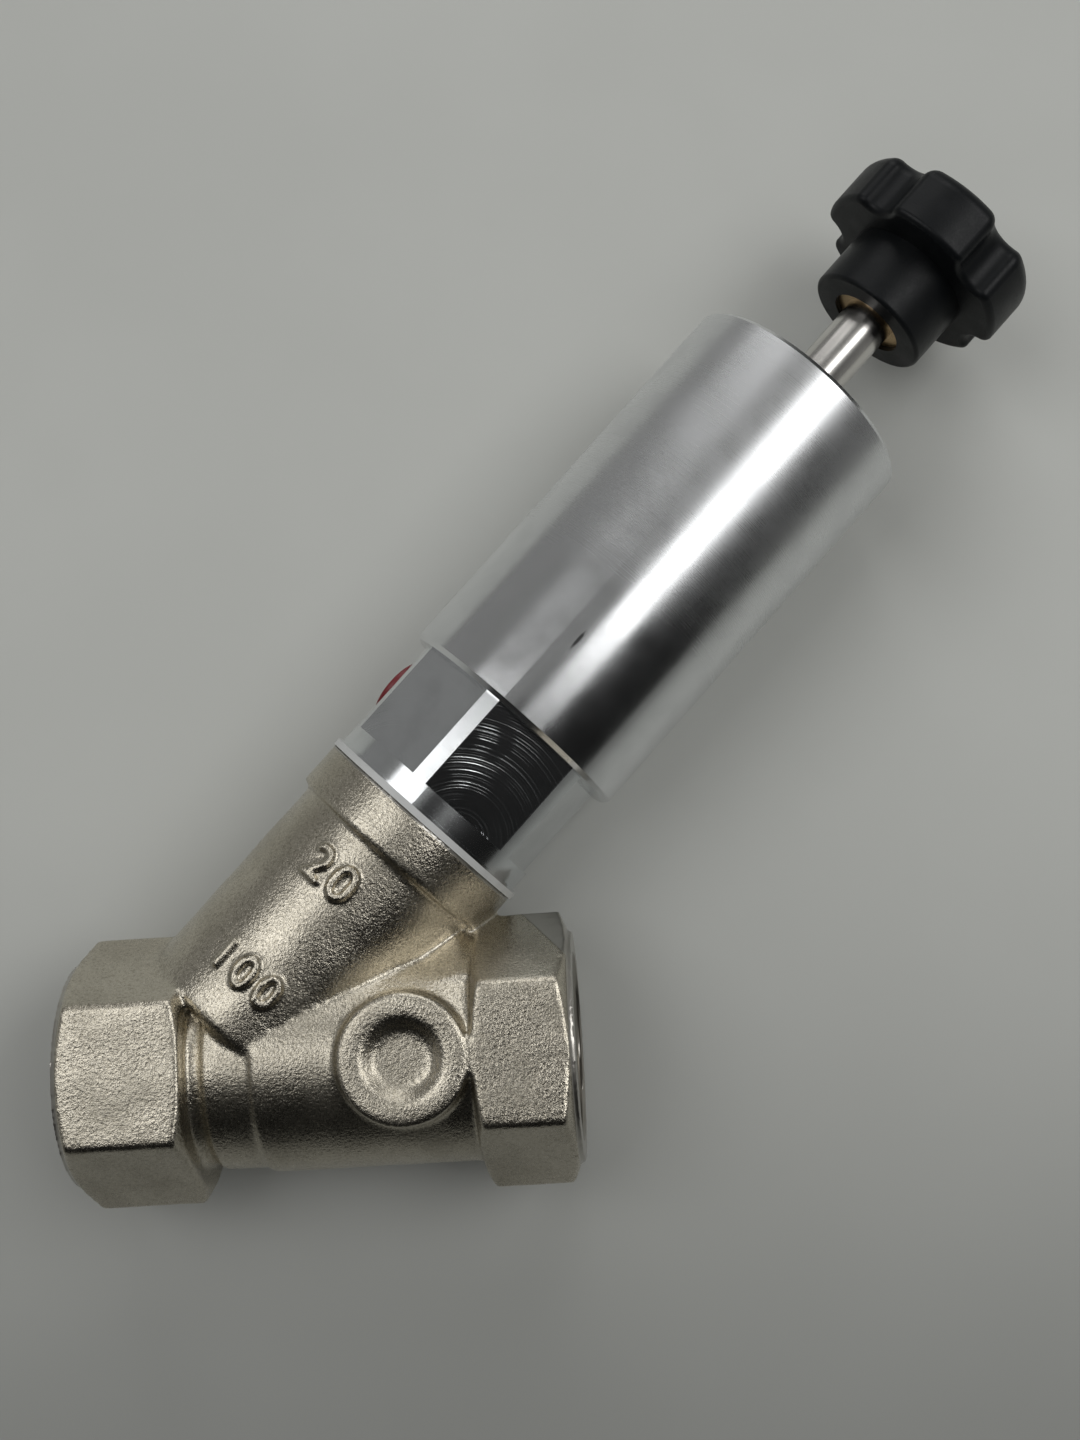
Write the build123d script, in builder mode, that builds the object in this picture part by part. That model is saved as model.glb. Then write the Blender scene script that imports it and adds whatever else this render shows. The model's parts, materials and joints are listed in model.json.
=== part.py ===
"""Y-pattern angle seat valve with a hand knob, as an assembly of separate pieces.

Lengths are in millimetres. The valve lies on its side: the pipe axis is X, with the inlet mouth at the
origin, the stem leans from it towards +X and +Y, and +Z is up, square to the plane of both axes.
A station is a distance along the stem axis, measured from the point where it crosses the pipe axis.
"""

import math
import os

from build123d import *

os.makedirs("parts", exist_ok=True)

# ---------------------------------------------------------------- driving dimensions: body
hex_across_flats = 34.0
hex_edge_radius = 0.8
inlet_hex_length = 17.4
outlet_hex_length = 13.4
mouth_ring_length = 0.8
mouth_ring_diameter = 33.0
pipe_thread_bore = 24.12
pipe_thread_length = 15.0
hex_chamfer_angle = 22.0
stem_angle = 45.0
axes_cross = 17.3
groove_length = 2.5
groove_diameter = 28.0
shoulder_length = 7.0
shoulder_diameter = 29.6
run_length = 31.0
run_diameter = 31.0
chamber_entry_diameter = 22.0
chamber_diameter = 25.0
chamber_taper = 4.0
branch_start = 7.2
branch_foot_slope = 1.2
branch_diameter = 32.0
collar_diameter = 34.6
neck_wall = 3.8
neck_step = 0.5
collar_height = 7.0
web_station = 12.0
web_thickness = 3.0
seat_ledge = 4.0
seat_lip_height = 1.0
seat_lip_width = 0.8
boss_gap = 0.3
boss_diameter = 18.6
boss_height = 1.7
boss_recess_diameter = 11.8
boss_floor_diameter = 7.8
boss_recess_depth = 1.5
boss_rim_fillet = 0.8
boss_root_fillet = 1.0
crease_fillet = 0.6

# ---------------------------------------------------------------- driving dimensions: disc
disc_bore_gap = 0.7
disc_rim_width = 0.9
disc_plate_thickness = 3.6
seal_thickness = 2.5
seal_grip = 1.0
disc_boss_diameter = 11.0
clamp_washer_gap = 1.5
clamp_washer_thickness = 1.3
disc_stud_diameter = 5.0
disc_nut_across_flats = 8.0
disc_nut_height = 4.0
disc_stud_end = 0.9
disc_hub_diameter = 15.0
socket_floor_thickness = 1.1
thrust_washer_thickness = 0.8
retaining_ring_thickness = 1.0
retaining_ring_depth = 0.9
disc_hub_lip = 0.5

# ---------------------------------------------------------------- driving dimensions: spindle and knob
rod_diameter = 8.0
running_clearance = 0.05
socket_clearance = 0.2
button_diameter = 10.0
button_height = 3.0
button_play = 0.1
stem_lift = 8.8
lift_clearance = 0.6
exposed_rod = 16.4
rod_tip_diameter = 6.0
stop_collar_diameter = 17.0
stop_collar_height = 8.0
stop_gap = 0.3
collar_pin_diameter = 2.5
knob_diameter = 32.0
knob_lobes = 5
knob_turned = 1.8
knob_groove_radius = 3.6
knob_groove_depth = 2.4
knob_groove_blend = 1.8
knob_head_height = 10.0
knob_top_edge = 2.6
knob_bottom_edge = 1.0
knob_hub_diameter = 19.8
knob_hub_height = 10.0
knob_hub_edge = 0.6
knob_cap_thickness = 3.6
insert_diameter = 12.0
insert_recess = 0.8

# ---------------------------------------------------------------- driving dimensions: bonnet and packing
gasket_thickness = 1.0
gasket_overhang = 0.3
bonnet_spigot_length = 11.4
bonnet_flange_height = 0.4
bonnet_band_height = 3.0
bonnet_round_diameter = 33.8
bonnet_across_flats = 30.4
bonnet_turned = 24.0
flats_length = 15.6
thread_fit = 0.05
guide_thickness = 2.0
packing_diameter = 15.0
packing_washer_thickness = 0.8
disc_spring_count = 3
disc_spring_thickness = 0.7
disc_spring_cone = 0.4
packing_gap = 0.05
adaptor_height = 1.5
packing_ring_count = 3
packing_ring_thickness = 1.3
packing_vee = 0.7
gland_diameter = 17.0
gland_height = 4.0
gland_socket_across_flats = 11.0
gland_socket_depth = 2.0
upper_spigot_length = 10.3
port_bore = 8.57
port_depth = 8.0
port_height = 8.2
plug_head_diameter = 10.4
plug_head_height = 1.7
plug_shank_length = 6.0
plug_slot_width = 1.4
plug_slot_depth = 1.0

# ---------------------------------------------------------------- driving dimensions: spindle nut
nut_screw_wall = 0.5
nut_shank_length = 10.0
nut_flange_step = 0.7
nut_flange_height = 3.5
nut_screw_head_gap = 0.4
nut_screw_count = 3
nut_screw_diameter = 3.0
nut_screw_head_diameter = 5.2
nut_screw_head_height = 2.4
nut_screw_length = 8.0
nut_screw_socket = 2.5

# ---------------------------------------------------------------- driving dimensions: housing and cap
sleeve_diameter = 38.0
sleeve_length = 66.4
sleeve_wall = 4.0
sleeve_joint_wall = 3.0
sleeve_joint_length = 14.5
sleeve_edge = 0.7
cap_height = 9.4
cap_seat_wall = 3.0
cap_spot_diameter = 20.0
snap_ring_thickness = 1.2
snap_groove_depth = 1.0
snap_ring_width = 2.4
snap_ring_gap_angle = 40.0
rim_land = 0.8
o_ring_width = 2.0
o_ring_depth = 1.55
o_ring_edge = 0.6
o_ring_setback = 3.6
bush_wall = 1.8
bush_flange_wall = 3.4
bush_flange_height = 1.4
wiper_wall = 2.6
wiper_height = 2.4

# ---------------------------------------------------------------- diameters worked out from them
bonnet_thread_diameter = collar_diameter - 2 * neck_wall
branch_bore = bonnet_thread_diameter - 2 * neck_step
seat_bore = branch_bore - 2 * seat_ledge
clamp_washer_diameter = seat_bore - 2 * clamp_washer_gap
sleeve_bore = sleeve_diameter - 2 * sleeve_wall
upper_spigot_diameter = sleeve_diameter - 2 * sleeve_joint_wall
nut_flange_diameter = upper_spigot_diameter - 2 * nut_flange_step
cap_diameter = sleeve_diameter - 2 * cap_seat_wall
nut_screw_circle = sleeve_bore - nut_screw_head_diameter - 2 * nut_screw_head_gap
nut_shank_diameter = nut_screw_circle - nut_screw_diameter - 2 * nut_screw_wall

# ---------------------------------------------------------------- stations worked out from them
inlet_hex_start = mouth_ring_length
groove_start = inlet_hex_start + inlet_hex_length
shoulder_start = groove_start + groove_length
run_start = shoulder_start + shoulder_length
run_end = run_start + run_length
outlet_hex_end = run_end + outlet_hex_length
body_length = outlet_hex_end + mouth_ring_length

web_top = web_station + web_thickness
seat_station = web_top + seat_lip_height
seal_top = seat_station + seal_thickness
disc_plate_top = seal_top + disc_plate_thickness
socket_floor = disc_plate_top + socket_floor_thickness
button_bottom = socket_floor + thrust_washer_thickness
button_top = button_bottom + button_height
retaining_ring_bottom = button_top + button_play
retaining_ring_top = retaining_ring_bottom + retaining_ring_thickness
disc_hub_top = retaining_ring_top + disc_hub_lip
clamp_washer_bottom = seat_station - clamp_washer_thickness
disc_nut_bottom = clamp_washer_bottom - disc_nut_height
disc_stud_bottom = disc_nut_bottom - disc_stud_end

bonnet_bottom = disc_hub_top + stem_lift + lift_clearance
bonnet_seat = bonnet_bottom + bonnet_spigot_length
neck_top = bonnet_seat - gasket_thickness
collar_bottom = neck_top - collar_height
bonnet_band_bottom = bonnet_seat + bonnet_flange_height
flats_bottom = bonnet_band_bottom + bonnet_band_height
sleeve_bottom = flats_bottom + flats_length
upper_spigot_top = sleeve_bottom + upper_spigot_length
port_station = flats_bottom + port_height

packing_floor = bonnet_bottom + guide_thickness
springs_bottom = packing_floor + packing_washer_thickness
disc_spring_pitch = disc_spring_thickness + disc_spring_cone + packing_gap
lower_adaptor_bottom = springs_bottom + disc_spring_count * disc_spring_pitch
packing_rings_bottom = lower_adaptor_bottom + adaptor_height + packing_gap
packing_ring_pitch = packing_ring_thickness + packing_gap
upper_adaptor_bottom = packing_rings_bottom + packing_ring_count * packing_ring_pitch
gland_bottom = upper_adaptor_bottom + packing_vee + adaptor_height
gland_top = gland_bottom + gland_height

nut_shank_bottom = upper_spigot_top - nut_shank_length
nut_flange_top = upper_spigot_top + nut_flange_height

sleeve_top = sleeve_bottom + sleeve_length
sleeve_joint_top = sleeve_bottom + sleeve_joint_length
snap_ring_top = sleeve_top - rim_land
snap_ring_bottom = snap_ring_top - snap_ring_thickness
cap_bottom = snap_ring_bottom - cap_height
stop_collar_top = cap_bottom - stem_lift - stop_gap
stop_collar_bottom = stop_collar_top - stop_collar_height
bush_top = cap_bottom + cap_height - wiper_height
sleeve_o_ring_bottom = upper_spigot_top - o_ring_setback - o_ring_width
cap_o_ring_bottom = cap_bottom + (cap_height - o_ring_width) / 2

knob_bottom = sleeve_top + exposed_rod
knob_head_bottom = knob_bottom + knob_hub_height
knob_top = knob_head_bottom + knob_head_height
insert_bottom = knob_bottom + insert_recess
insert_top = knob_top - knob_cap_thickness
rod_tip_top = insert_top

rod_radius = rod_diameter / 2
rod_hole_radius = rod_radius + running_clearance
flat_distance = bonnet_across_flats / 2

# ---------------------------------------------------------------- planes and axes
lean = math.radians(stem_angle)
cross_point = Vector(axes_cross, 0, 0)
stem_direction = Vector(math.cos(lean), math.sin(lean), 0)
up = Vector(0, 0, 1)
stem_plane = Plane(origin=cross_point, x_dir=up, z_dir=stem_direction)
stem_section = Plane(origin=cross_point, x_dir=up, z_dir=up.cross(stem_direction))
stem_axis = Axis(cross_point, stem_direction)
port_angle = math.radians(bonnet_turned - 120.0)
port_direction = stem_plane.x_dir * math.cos(port_angle) + stem_plane.y_dir * math.sin(port_angle)
port_plane = Plane(
    origin=cross_point + stem_direction * port_station + port_direction * flat_distance,
    x_dir=stem_direction,
    z_dir=port_direction,
)


def section(*points):
    """A closed outline in the plane of the stem axis, from (radius, station) points."""
    with BuildSketch(stem_section) as outline:
        with BuildLine():
            Polyline(*points, close=True)
        make_face()
    return outline.sketch


def ring_section(inner_radius, outer_radius, bottom, top):
    """The rectangular section of a ring round the stem axis."""
    return section((inner_radius, bottom), (outer_radius, bottom), (outer_radius, top), (inner_radius, top))


def pipe_section(*points):
    """A closed outline in the plane of the pipe axis, from (distance along the pipe, radius) points."""
    with BuildSketch(Plane.XY) as outline:
        with BuildLine():
            Polyline(*points, close=True)
        make_face()
    return outline.sketch


def hexagon_end(start, length):
    """A hexagonal pipe end with a conical chamfer turned on both of its faces."""
    flat_radius = hex_across_flats / 2
    corner_radius = hex_across_flats / math.sqrt(3)
    chamfer_length = (corner_radius - flat_radius) * math.tan(math.radians(hex_chamfer_angle))
    end = start + length
    with BuildPart() as hexagon:
        with BuildSketch(Plane.YZ.offset(start)) as outline:
            RegularPolygon(flat_radius, 6, major_radius=False)
            fillet(outline.vertices(), radius=hex_edge_radius)
        extrude(amount=length)
        revolve(
            pipe_section(
                (start, 0),
                (start, flat_radius),
                (start + chamfer_length, corner_radius),
                (end - chamfer_length, corner_radius),
                (end, flat_radius),
                (end, 0),
            ),
            axis=Axis.X,
            mode=Mode.INTERSECT,
        )
    return hexagon.part


def flow_passage():
    """The straight bore between the two pipe threads, narrow at both ends and wide in the middle."""
    entry_radius = chamber_entry_diameter / 2
    wide_radius = chamber_diameter / 2
    start = pipe_thread_length
    end = body_length - pipe_thread_length
    wide_start = shoulder_start + chamber_taper / 2
    wide_end = run_end - chamber_taper
    with BuildPart() as passage:
        revolve(
            pipe_section(
                (start, 0),
                (start, entry_radius),
                (wide_start, entry_radius),
                (wide_start + chamber_taper, wide_radius),
                (wide_end, wide_radius),
                (end, entry_radius),
                (end, 0),
            ),
            axis=Axis.X,
        )
    return passage.part


# ---------------------------------------------------------------- body: a casting with machined threads
groove_radius = groove_diameter / 2
shoulder_radius = shoulder_diameter / 2
run_radius = run_diameter / 2
mouth_radius = mouth_ring_diameter / 2
boss_plane = Plane(origin=(run_end - boss_gap - boss_diameter / 2, 0, 0))
boss_recess_slope = math.atan2(boss_recess_diameter - boss_floor_diameter, 2 * boss_recess_depth)
boss_top = run_radius + boss_height

passage_below_web = split(flow_passage(), bisect_by=stem_plane.offset(web_station), keep=Keep.BOTTOM)
passage_above_web = split(flow_passage(), bisect_by=stem_plane.offset(web_top), keep=Keep.TOP)

with BuildPart() as valve_body:
    revolve(
        pipe_section(
            (0, 0),
            (0, mouth_radius),
            (inlet_hex_start, mouth_radius),
            (groove_start, groove_radius),
            (shoulder_start, groove_radius),
            (shoulder_start, shoulder_radius),
            (run_start, shoulder_radius),
            (run_start, run_radius),
            (run_end, run_radius),
            (outlet_hex_end, mouth_radius),
            (body_length, mouth_radius),
            (body_length, 0),
        ),
        axis=Axis.X,
    )
    revolve(
        section(
            (0, branch_start),
            (branch_diameter / 2 - branch_foot_slope, branch_start),
            (branch_diameter / 2, branch_start + branch_foot_slope),
            (branch_diameter / 2, neck_top),
            (0, neck_top),
        ),
        axis=stem_axis,
    )
    with BuildSketch(boss_plane):
        Circle(boss_diameter / 2)
    extrude(amount=boss_top)
    add(hexagon_end(inlet_hex_start, inlet_hex_length))
    add(hexagon_end(run_end, outlet_hex_length))
    with BuildSketch(stem_plane.offset(collar_bottom)):
        Circle(collar_diameter / 2)
    extrude(amount=collar_height)
    add(passage_below_web, mode=Mode.SUBTRACT)
    add(passage_above_web, mode=Mode.SUBTRACT)
    # the bore above the web, with the thread for the bonnet at its top
    revolve(ring_section(0, branch_bore / 2, web_top, neck_top), axis=stem_axis, mode=Mode.SUBTRACT)
    revolve(
        ring_section(0, bonnet_thread_diameter / 2, bonnet_bottom, neck_top),
        axis=stem_axis,
        mode=Mode.SUBTRACT,
    )
    # the seat: an orifice through the web with a raised lip round it
    revolve(ring_section(0, seat_bore / 2, 0, web_top), axis=stem_axis, mode=Mode.SUBTRACT)
    revolve(
        section(
            (seat_bore / 2, web_station),
            (seat_bore / 2 + seat_lip_width + 2 * seat_lip_height, web_station),
            (seat_bore / 2 + seat_lip_width + 2 * seat_lip_height, web_top),
            (seat_bore / 2 + seat_lip_width, seat_station),
            (seat_bore / 2, seat_station),
        ),
        axis=stem_axis,
    )
    # the pipe threads, bored to their minor diameter
    for mouth in (0, body_length - pipe_thread_length):
        with BuildSketch(Plane.YZ.offset(mouth)):
            Circle(pipe_thread_bore / 2)
        extrude(amount=pipe_thread_length, mode=Mode.SUBTRACT)
    # the shallow dish in the boss
    with BuildSketch(boss_plane.offset(boss_top)):
        Circle(boss_recess_diameter / 2)
    extrude(amount=-boss_recess_depth, taper=math.degrees(boss_recess_slope), mode=Mode.SUBTRACT)
    # cast fillets: the two creases between branch and run, then the root and the rim of the boss
    crossings = valve_body.edges().filter_by(GeomType.BSPLINE).sort_by(SortBy.LENGTH)
    fillet(crossings[-3:-1], radius=crease_fillet)
    crossings = valve_body.edges().filter_by(GeomType.BSPLINE).sort_by(SortBy.LENGTH)
    fillet(crossings[-1], radius=boss_root_fillet)
    boss_rim = valve_body.edges().filter_by(GeomType.CIRCLE).group_by(Axis.Z)[-1]
    fillet(boss_rim.sort_by(SortBy.RADIUS)[-1], radius=boss_rim_fillet)
valve_body.part.label = "valve_body"
export_step(valve_body.part, "parts/valve_body.step")

# ---------------------------------------------------------------- gasket between neck and bonnet
with BuildPart() as bonnet_gasket:
    revolve(
        ring_section(
            bonnet_thread_diameter / 2 + thread_fit,
            collar_diameter / 2 + gasket_overhang,
            neck_top,
            bonnet_seat,
        ),
        axis=stem_axis,
    )
bonnet_gasket.part.label = "bonnet_gasket"
export_step(bonnet_gasket.part, "parts/bonnet_gasket.step")

# ---------------------------------------------------------------- bonnet
bonnet_round_radius = bonnet_round_diameter / 2
upper_spigot_radius = upper_spigot_diameter / 2
o_ring_groove_radius = upper_spigot_radius - o_ring_depth
screw_plane = stem_plane.offset(upper_spigot_top)

with BuildPart() as bonnet:
    revolve(
        section(
            (0, bonnet_bottom),
            (bonnet_thread_diameter / 2 - thread_fit, bonnet_bottom),
            (bonnet_thread_diameter / 2 - thread_fit, bonnet_seat),
            (collar_diameter / 2, bonnet_seat),
            (collar_diameter / 2, bonnet_band_bottom),
            (bonnet_round_radius, bonnet_band_bottom),
            (bonnet_round_radius, sleeve_bottom),
            (upper_spigot_radius, sleeve_bottom),
            (upper_spigot_radius, sleeve_o_ring_bottom),
            (o_ring_groove_radius, sleeve_o_ring_bottom),
            (o_ring_groove_radius, sleeve_o_ring_bottom + o_ring_width),
            (upper_spigot_radius, sleeve_o_ring_bottom + o_ring_width),
            (upper_spigot_radius, upper_spigot_top),
            (0, upper_spigot_top),
        ),
        axis=stem_axis,
    )
    # six milled flats, with a narrow turned land left between them
    with BuildSketch(stem_plane.offset(flats_bottom)):
        Circle(bonnet_round_diameter)
        RegularPolygon(
            flat_distance, 6, major_radius=False, rotation=bonnet_turned - 30, mode=Mode.SUBTRACT
        )
    extrude(amount=flats_length, mode=Mode.SUBTRACT)
    # the stuffing box, bored from above
    revolve(
        section(
            (0, bonnet_bottom),
            (rod_hole_radius, bonnet_bottom),
            (rod_hole_radius, packing_floor),
            (packing_diameter / 2, packing_floor),
            (packing_diameter / 2, gland_bottom),
            (gland_diameter / 2, gland_bottom),
            (gland_diameter / 2, nut_shank_bottom),
            (nut_shank_diameter / 2, nut_shank_bottom),
            (nut_shank_diameter / 2, upper_spigot_top),
            (0, upper_spigot_top),
        ),
        axis=stem_axis,
        mode=Mode.SUBTRACT,
    )
    with BuildSketch(port_plane):
        Circle(port_bore / 2)
    extrude(amount=-port_depth, mode=Mode.SUBTRACT)
    with BuildSketch(screw_plane):
        with PolarLocations(nut_screw_circle / 2, nut_screw_count):
            Circle(nut_screw_diameter / 2 + thread_fit)
    extrude(amount=nut_flange_height - nut_screw_length - 1, mode=Mode.SUBTRACT)
bonnet.part.label = "bonnet"
export_step(bonnet.part, "parts/bonnet.step")

# ---------------------------------------------------------------- plug in the side port
with BuildPart() as port_plug:
    with BuildSketch(port_plane):
        Circle(plug_head_diameter / 2)
    extrude(amount=plug_head_height)
    fillet(port_plug.faces().sort_by(Axis((0, 0, 0), port_direction))[-1].edges(), radius=0.5)
    with BuildSketch(port_plane):
        Circle(port_bore / 2 - thread_fit)
    extrude(amount=-plug_shank_length)
    with BuildSketch(port_plane.offset(plug_head_height)):
        Rectangle(plug_head_diameter, plug_slot_width)
    extrude(amount=-plug_slot_depth, mode=Mode.SUBTRACT)
port_plug.part.label = "port_plug"
export_step(port_plug.part, "parts/port_plug.step")

# ---------------------------------------------------------------- packing set, from the bottom up
packing_outer = packing_diameter / 2 - thread_fit
packing_middle = (rod_hole_radius + packing_outer) / 2

with BuildPart() as packing_washer:
    revolve(ring_section(rod_hole_radius, packing_outer, packing_floor, springs_bottom), axis=stem_axis)
packing_washer.part.label = "packing_washer"
export_step(packing_washer.part, "parts/packing_washer.step")

with BuildPart() as disc_springs:
    for index in range(disc_spring_count):
        base = springs_bottom + packing_gap / 2 + index * disc_spring_pitch
        inner_rise = disc_spring_cone * (index % 2)
        outer_rise = disc_spring_cone - inner_rise
        revolve(
            section(
                (rod_hole_radius + thread_fit, base + inner_rise),
                (packing_outer - thread_fit, base + outer_rise),
                (packing_outer - thread_fit, base + outer_rise + disc_spring_thickness),
                (rod_hole_radius + thread_fit, base + inner_rise + disc_spring_thickness),
            ),
            axis=stem_axis,
        )
disc_springs.part.label = "disc_springs"
export_step(disc_springs.part, "parts/disc_springs.step")

with BuildPart() as lower_adaptor:
    top = lower_adaptor_bottom + adaptor_height
    revolve(
        section(
            (rod_hole_radius, lower_adaptor_bottom),
            (packing_outer, lower_adaptor_bottom),
            (packing_outer, top + packing_vee),
            (packing_middle, top),
            (rod_hole_radius, top + packing_vee),
        ),
        axis=stem_axis,
    )
lower_adaptor.part.label = "lower_adaptor"
export_step(lower_adaptor.part, "parts/lower_adaptor.step")

with BuildPart() as packing_rings:
    for index in range(packing_ring_count):
        base = packing_rings_bottom + index * packing_ring_pitch
        revolve(
            section(
                (rod_hole_radius, base + packing_vee),
                (packing_middle, base),
                (packing_outer, base + packing_vee),
                (packing_outer, base + packing_vee + packing_ring_thickness),
                (packing_middle, base + packing_ring_thickness),
                (rod_hole_radius, base + packing_vee + packing_ring_thickness),
            ),
            axis=stem_axis,
        )
packing_rings.part.label = "packing_rings"
export_step(packing_rings.part, "parts/packing_rings.step")

with BuildPart() as upper_adaptor:
    revolve(
        section(
            (rod_hole_radius, upper_adaptor_bottom + packing_vee),
            (packing_middle, upper_adaptor_bottom),
            (packing_outer, upper_adaptor_bottom + packing_vee),
            (packing_outer, gland_bottom),
            (rod_hole_radius, gland_bottom),
        ),
        axis=stem_axis,
    )
upper_adaptor.part.label = "upper_adaptor"
export_step(upper_adaptor.part, "parts/upper_adaptor.step")

with BuildPart() as gland_nut:
    revolve(
        ring_section(rod_hole_radius, gland_diameter / 2 - thread_fit, gland_bottom, gland_top),
        axis=stem_axis,
    )
    with BuildSketch(stem_plane.offset(gland_top)):
        RegularPolygon(gland_socket_across_flats / 2, 6, major_radius=False)
    extrude(amount=-gland_socket_depth, mode=Mode.SUBTRACT)
gland_nut.part.label = "gland_nut"
export_step(gland_nut.part, "parts/gland_nut.step")

# ---------------------------------------------------------------- spindle nut and its screws
with BuildPart() as spindle_nut:
    revolve(
        section(
            (rod_hole_radius, nut_shank_bottom),
            (nut_shank_diameter / 2 - thread_fit, nut_shank_bottom),
            (nut_shank_diameter / 2 - thread_fit, upper_spigot_top),
            (nut_flange_diameter / 2, upper_spigot_top),
            (nut_flange_diameter / 2, nut_flange_top),
            (rod_hole_radius, nut_flange_top),
        ),
        axis=stem_axis,
    )
    with BuildSketch(screw_plane):
        with PolarLocations(nut_screw_circle / 2, nut_screw_count):
            Circle(nut_screw_diameter / 2 + thread_fit)
    extrude(amount=nut_flange_height, mode=Mode.SUBTRACT)
spindle_nut.part.label = "spindle_nut"
export_step(spindle_nut.part, "parts/spindle_nut.step")

with BuildPart() as nut_screws:
    with BuildSketch(stem_plane.offset(nut_flange_top)):
        with PolarLocations(nut_screw_circle / 2, nut_screw_count):
            Circle(nut_screw_head_diameter / 2)
    extrude(amount=nut_screw_head_height)
    with BuildSketch(stem_plane.offset(nut_flange_top)):
        with PolarLocations(nut_screw_circle / 2, nut_screw_count):
            Circle(nut_screw_diameter / 2)
    extrude(amount=-nut_screw_length)
    with BuildSketch(stem_plane.offset(nut_flange_top + nut_screw_head_height)):
        with PolarLocations(nut_screw_circle / 2, nut_screw_count):
            RegularPolygon(nut_screw_socket / 2, 6, major_radius=False)
    extrude(amount=-nut_screw_head_height / 2, mode=Mode.SUBTRACT)
nut_screws.part.label = "nut_screws"
export_step(nut_screws.part, "parts/nut_screws.step")

# ---------------------------------------------------------------- housing sleeve
joint_radius = upper_spigot_radius + thread_fit
cap_seat_radius = cap_diameter / 2

with BuildPart() as housing_sleeve:
    revolve(
        section(
            (joint_radius, sleeve_bottom),
            (sleeve_diameter / 2 - sleeve_edge, sleeve_bottom),
            (sleeve_diameter / 2, sleeve_bottom + sleeve_edge),
            (sleeve_diameter / 2, sleeve_top - sleeve_edge),
            (sleeve_diameter / 2 - sleeve_edge, sleeve_top),
            (cap_seat_radius, sleeve_top),
            (cap_seat_radius, snap_ring_top),
            (cap_seat_radius + snap_groove_depth, snap_ring_top),
            (cap_seat_radius + snap_groove_depth, snap_ring_bottom),
            (cap_seat_radius, snap_ring_bottom),
            (cap_seat_radius, cap_bottom),
            (sleeve_bore / 2, cap_bottom),
            (sleeve_bore / 2, sleeve_joint_top),
            (joint_radius, sleeve_joint_top),
        ),
        axis=stem_axis,
    )
housing_sleeve.part.label = "housing_sleeve"
export_step(housing_sleeve.part, "parts/housing_sleeve.step")


def seal_ring(groove_radius, bore_radius, bottom):
    """An O-ring squeezed between its groove and the bore round it."""
    with BuildPart() as ring:
        with BuildSketch(stem_section):
            with BuildLine():
                Polyline(
                    (groove_radius, bottom),
                    (bore_radius, bottom),
                    (bore_radius, bottom + o_ring_width),
                    (groove_radius, bottom + o_ring_width),
                    close=True,
                )
            outline = make_face()
            fillet(outline.vertices(), radius=o_ring_edge)
        revolve(axis=stem_axis)
    return ring.part


with BuildPart() as sleeve_o_ring:
    add(seal_ring(o_ring_groove_radius, joint_radius, sleeve_o_ring_bottom))
sleeve_o_ring.part.label = "sleeve_o_ring"
export_step(sleeve_o_ring.part, "parts/sleeve_o_ring.step")

# ---------------------------------------------------------------- top cap with its bush and wiper
cap_radius = cap_seat_radius - thread_fit
cap_groove_radius = cap_seat_radius - o_ring_depth
bush_radius = rod_hole_radius + bush_wall
bush_flange_radius = rod_hole_radius + bush_flange_wall
wiper_radius = rod_hole_radius + wiper_wall
bush_bottom = cap_bottom
cap_top = snap_ring_bottom

with BuildPart() as top_cap:
    revolve(
        section(
            (bush_flange_radius + thread_fit, cap_bottom),
            (cap_radius, cap_bottom),
            (cap_radius, cap_o_ring_bottom),
            (cap_groove_radius, cap_o_ring_bottom),
            (cap_groove_radius, cap_o_ring_bottom + o_ring_width),
            (cap_radius, cap_o_ring_bottom + o_ring_width),
            (cap_radius, cap_top),
            (wiper_radius + thread_fit, cap_top),
            (wiper_radius + thread_fit, bush_top),
            (bush_radius + thread_fit, bush_top),
            (bush_radius + thread_fit, bush_bottom + bush_flange_height),
            (bush_flange_radius + thread_fit, bush_bottom + bush_flange_height),
        ),
        axis=stem_axis,
    )
top_cap.part.label = "top_cap"
export_step(top_cap.part, "parts/top_cap.step")

with BuildPart() as cap_o_ring:
    add(seal_ring(cap_groove_radius, cap_seat_radius, cap_o_ring_bottom))
cap_o_ring.part.label = "cap_o_ring"
export_step(cap_o_ring.part, "parts/cap_o_ring.step")

with BuildPart() as top_bush:
    revolve(
        section(
            (rod_hole_radius, bush_bottom),
            (bush_flange_radius, bush_bottom),
            (bush_flange_radius, bush_bottom + bush_flange_height),
            (bush_radius, bush_bottom + bush_flange_height),
            (bush_radius, bush_top),
            (rod_hole_radius, bush_top),
        ),
        axis=stem_axis,
    )
top_bush.part.label = "top_bush"
export_step(top_bush.part, "parts/top_bush.step")

with BuildPart() as rod_wiper:
    revolve(
        section(
            (rod_hole_radius + wiper_wall / 3, bush_top),
            (wiper_radius, bush_top),
            (wiper_radius, cap_top),
            (rod_hole_radius + wiper_wall / 3, cap_top),
            (rod_hole_radius, cap_top - wiper_height / 4),
            (rod_hole_radius, cap_top - wiper_height / 2),
        ),
        axis=stem_axis,
    )
rod_wiper.part.label = "rod_wiper"
export_step(rod_wiper.part, "parts/rod_wiper.step")

with BuildPart() as cap_snap_ring:
    ring_outer = cap_seat_radius + snap_groove_depth - thread_fit
    revolve(
        ring_section(ring_outer - snap_ring_width, ring_outer, snap_ring_bottom, snap_ring_top),
        axis=stem_axis,
        revolution_arc=360 - snap_ring_gap_angle,
    )
cap_snap_ring.part.label = "cap_snap_ring"
export_step(cap_snap_ring.part, "parts/cap_snap_ring.step")

# ---------------------------------------------------------------- spindle
pin_station = stop_collar_bottom + stop_collar_height / 2
pin_plane = Plane(origin=cross_point + stem_direction * pin_station)

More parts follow.
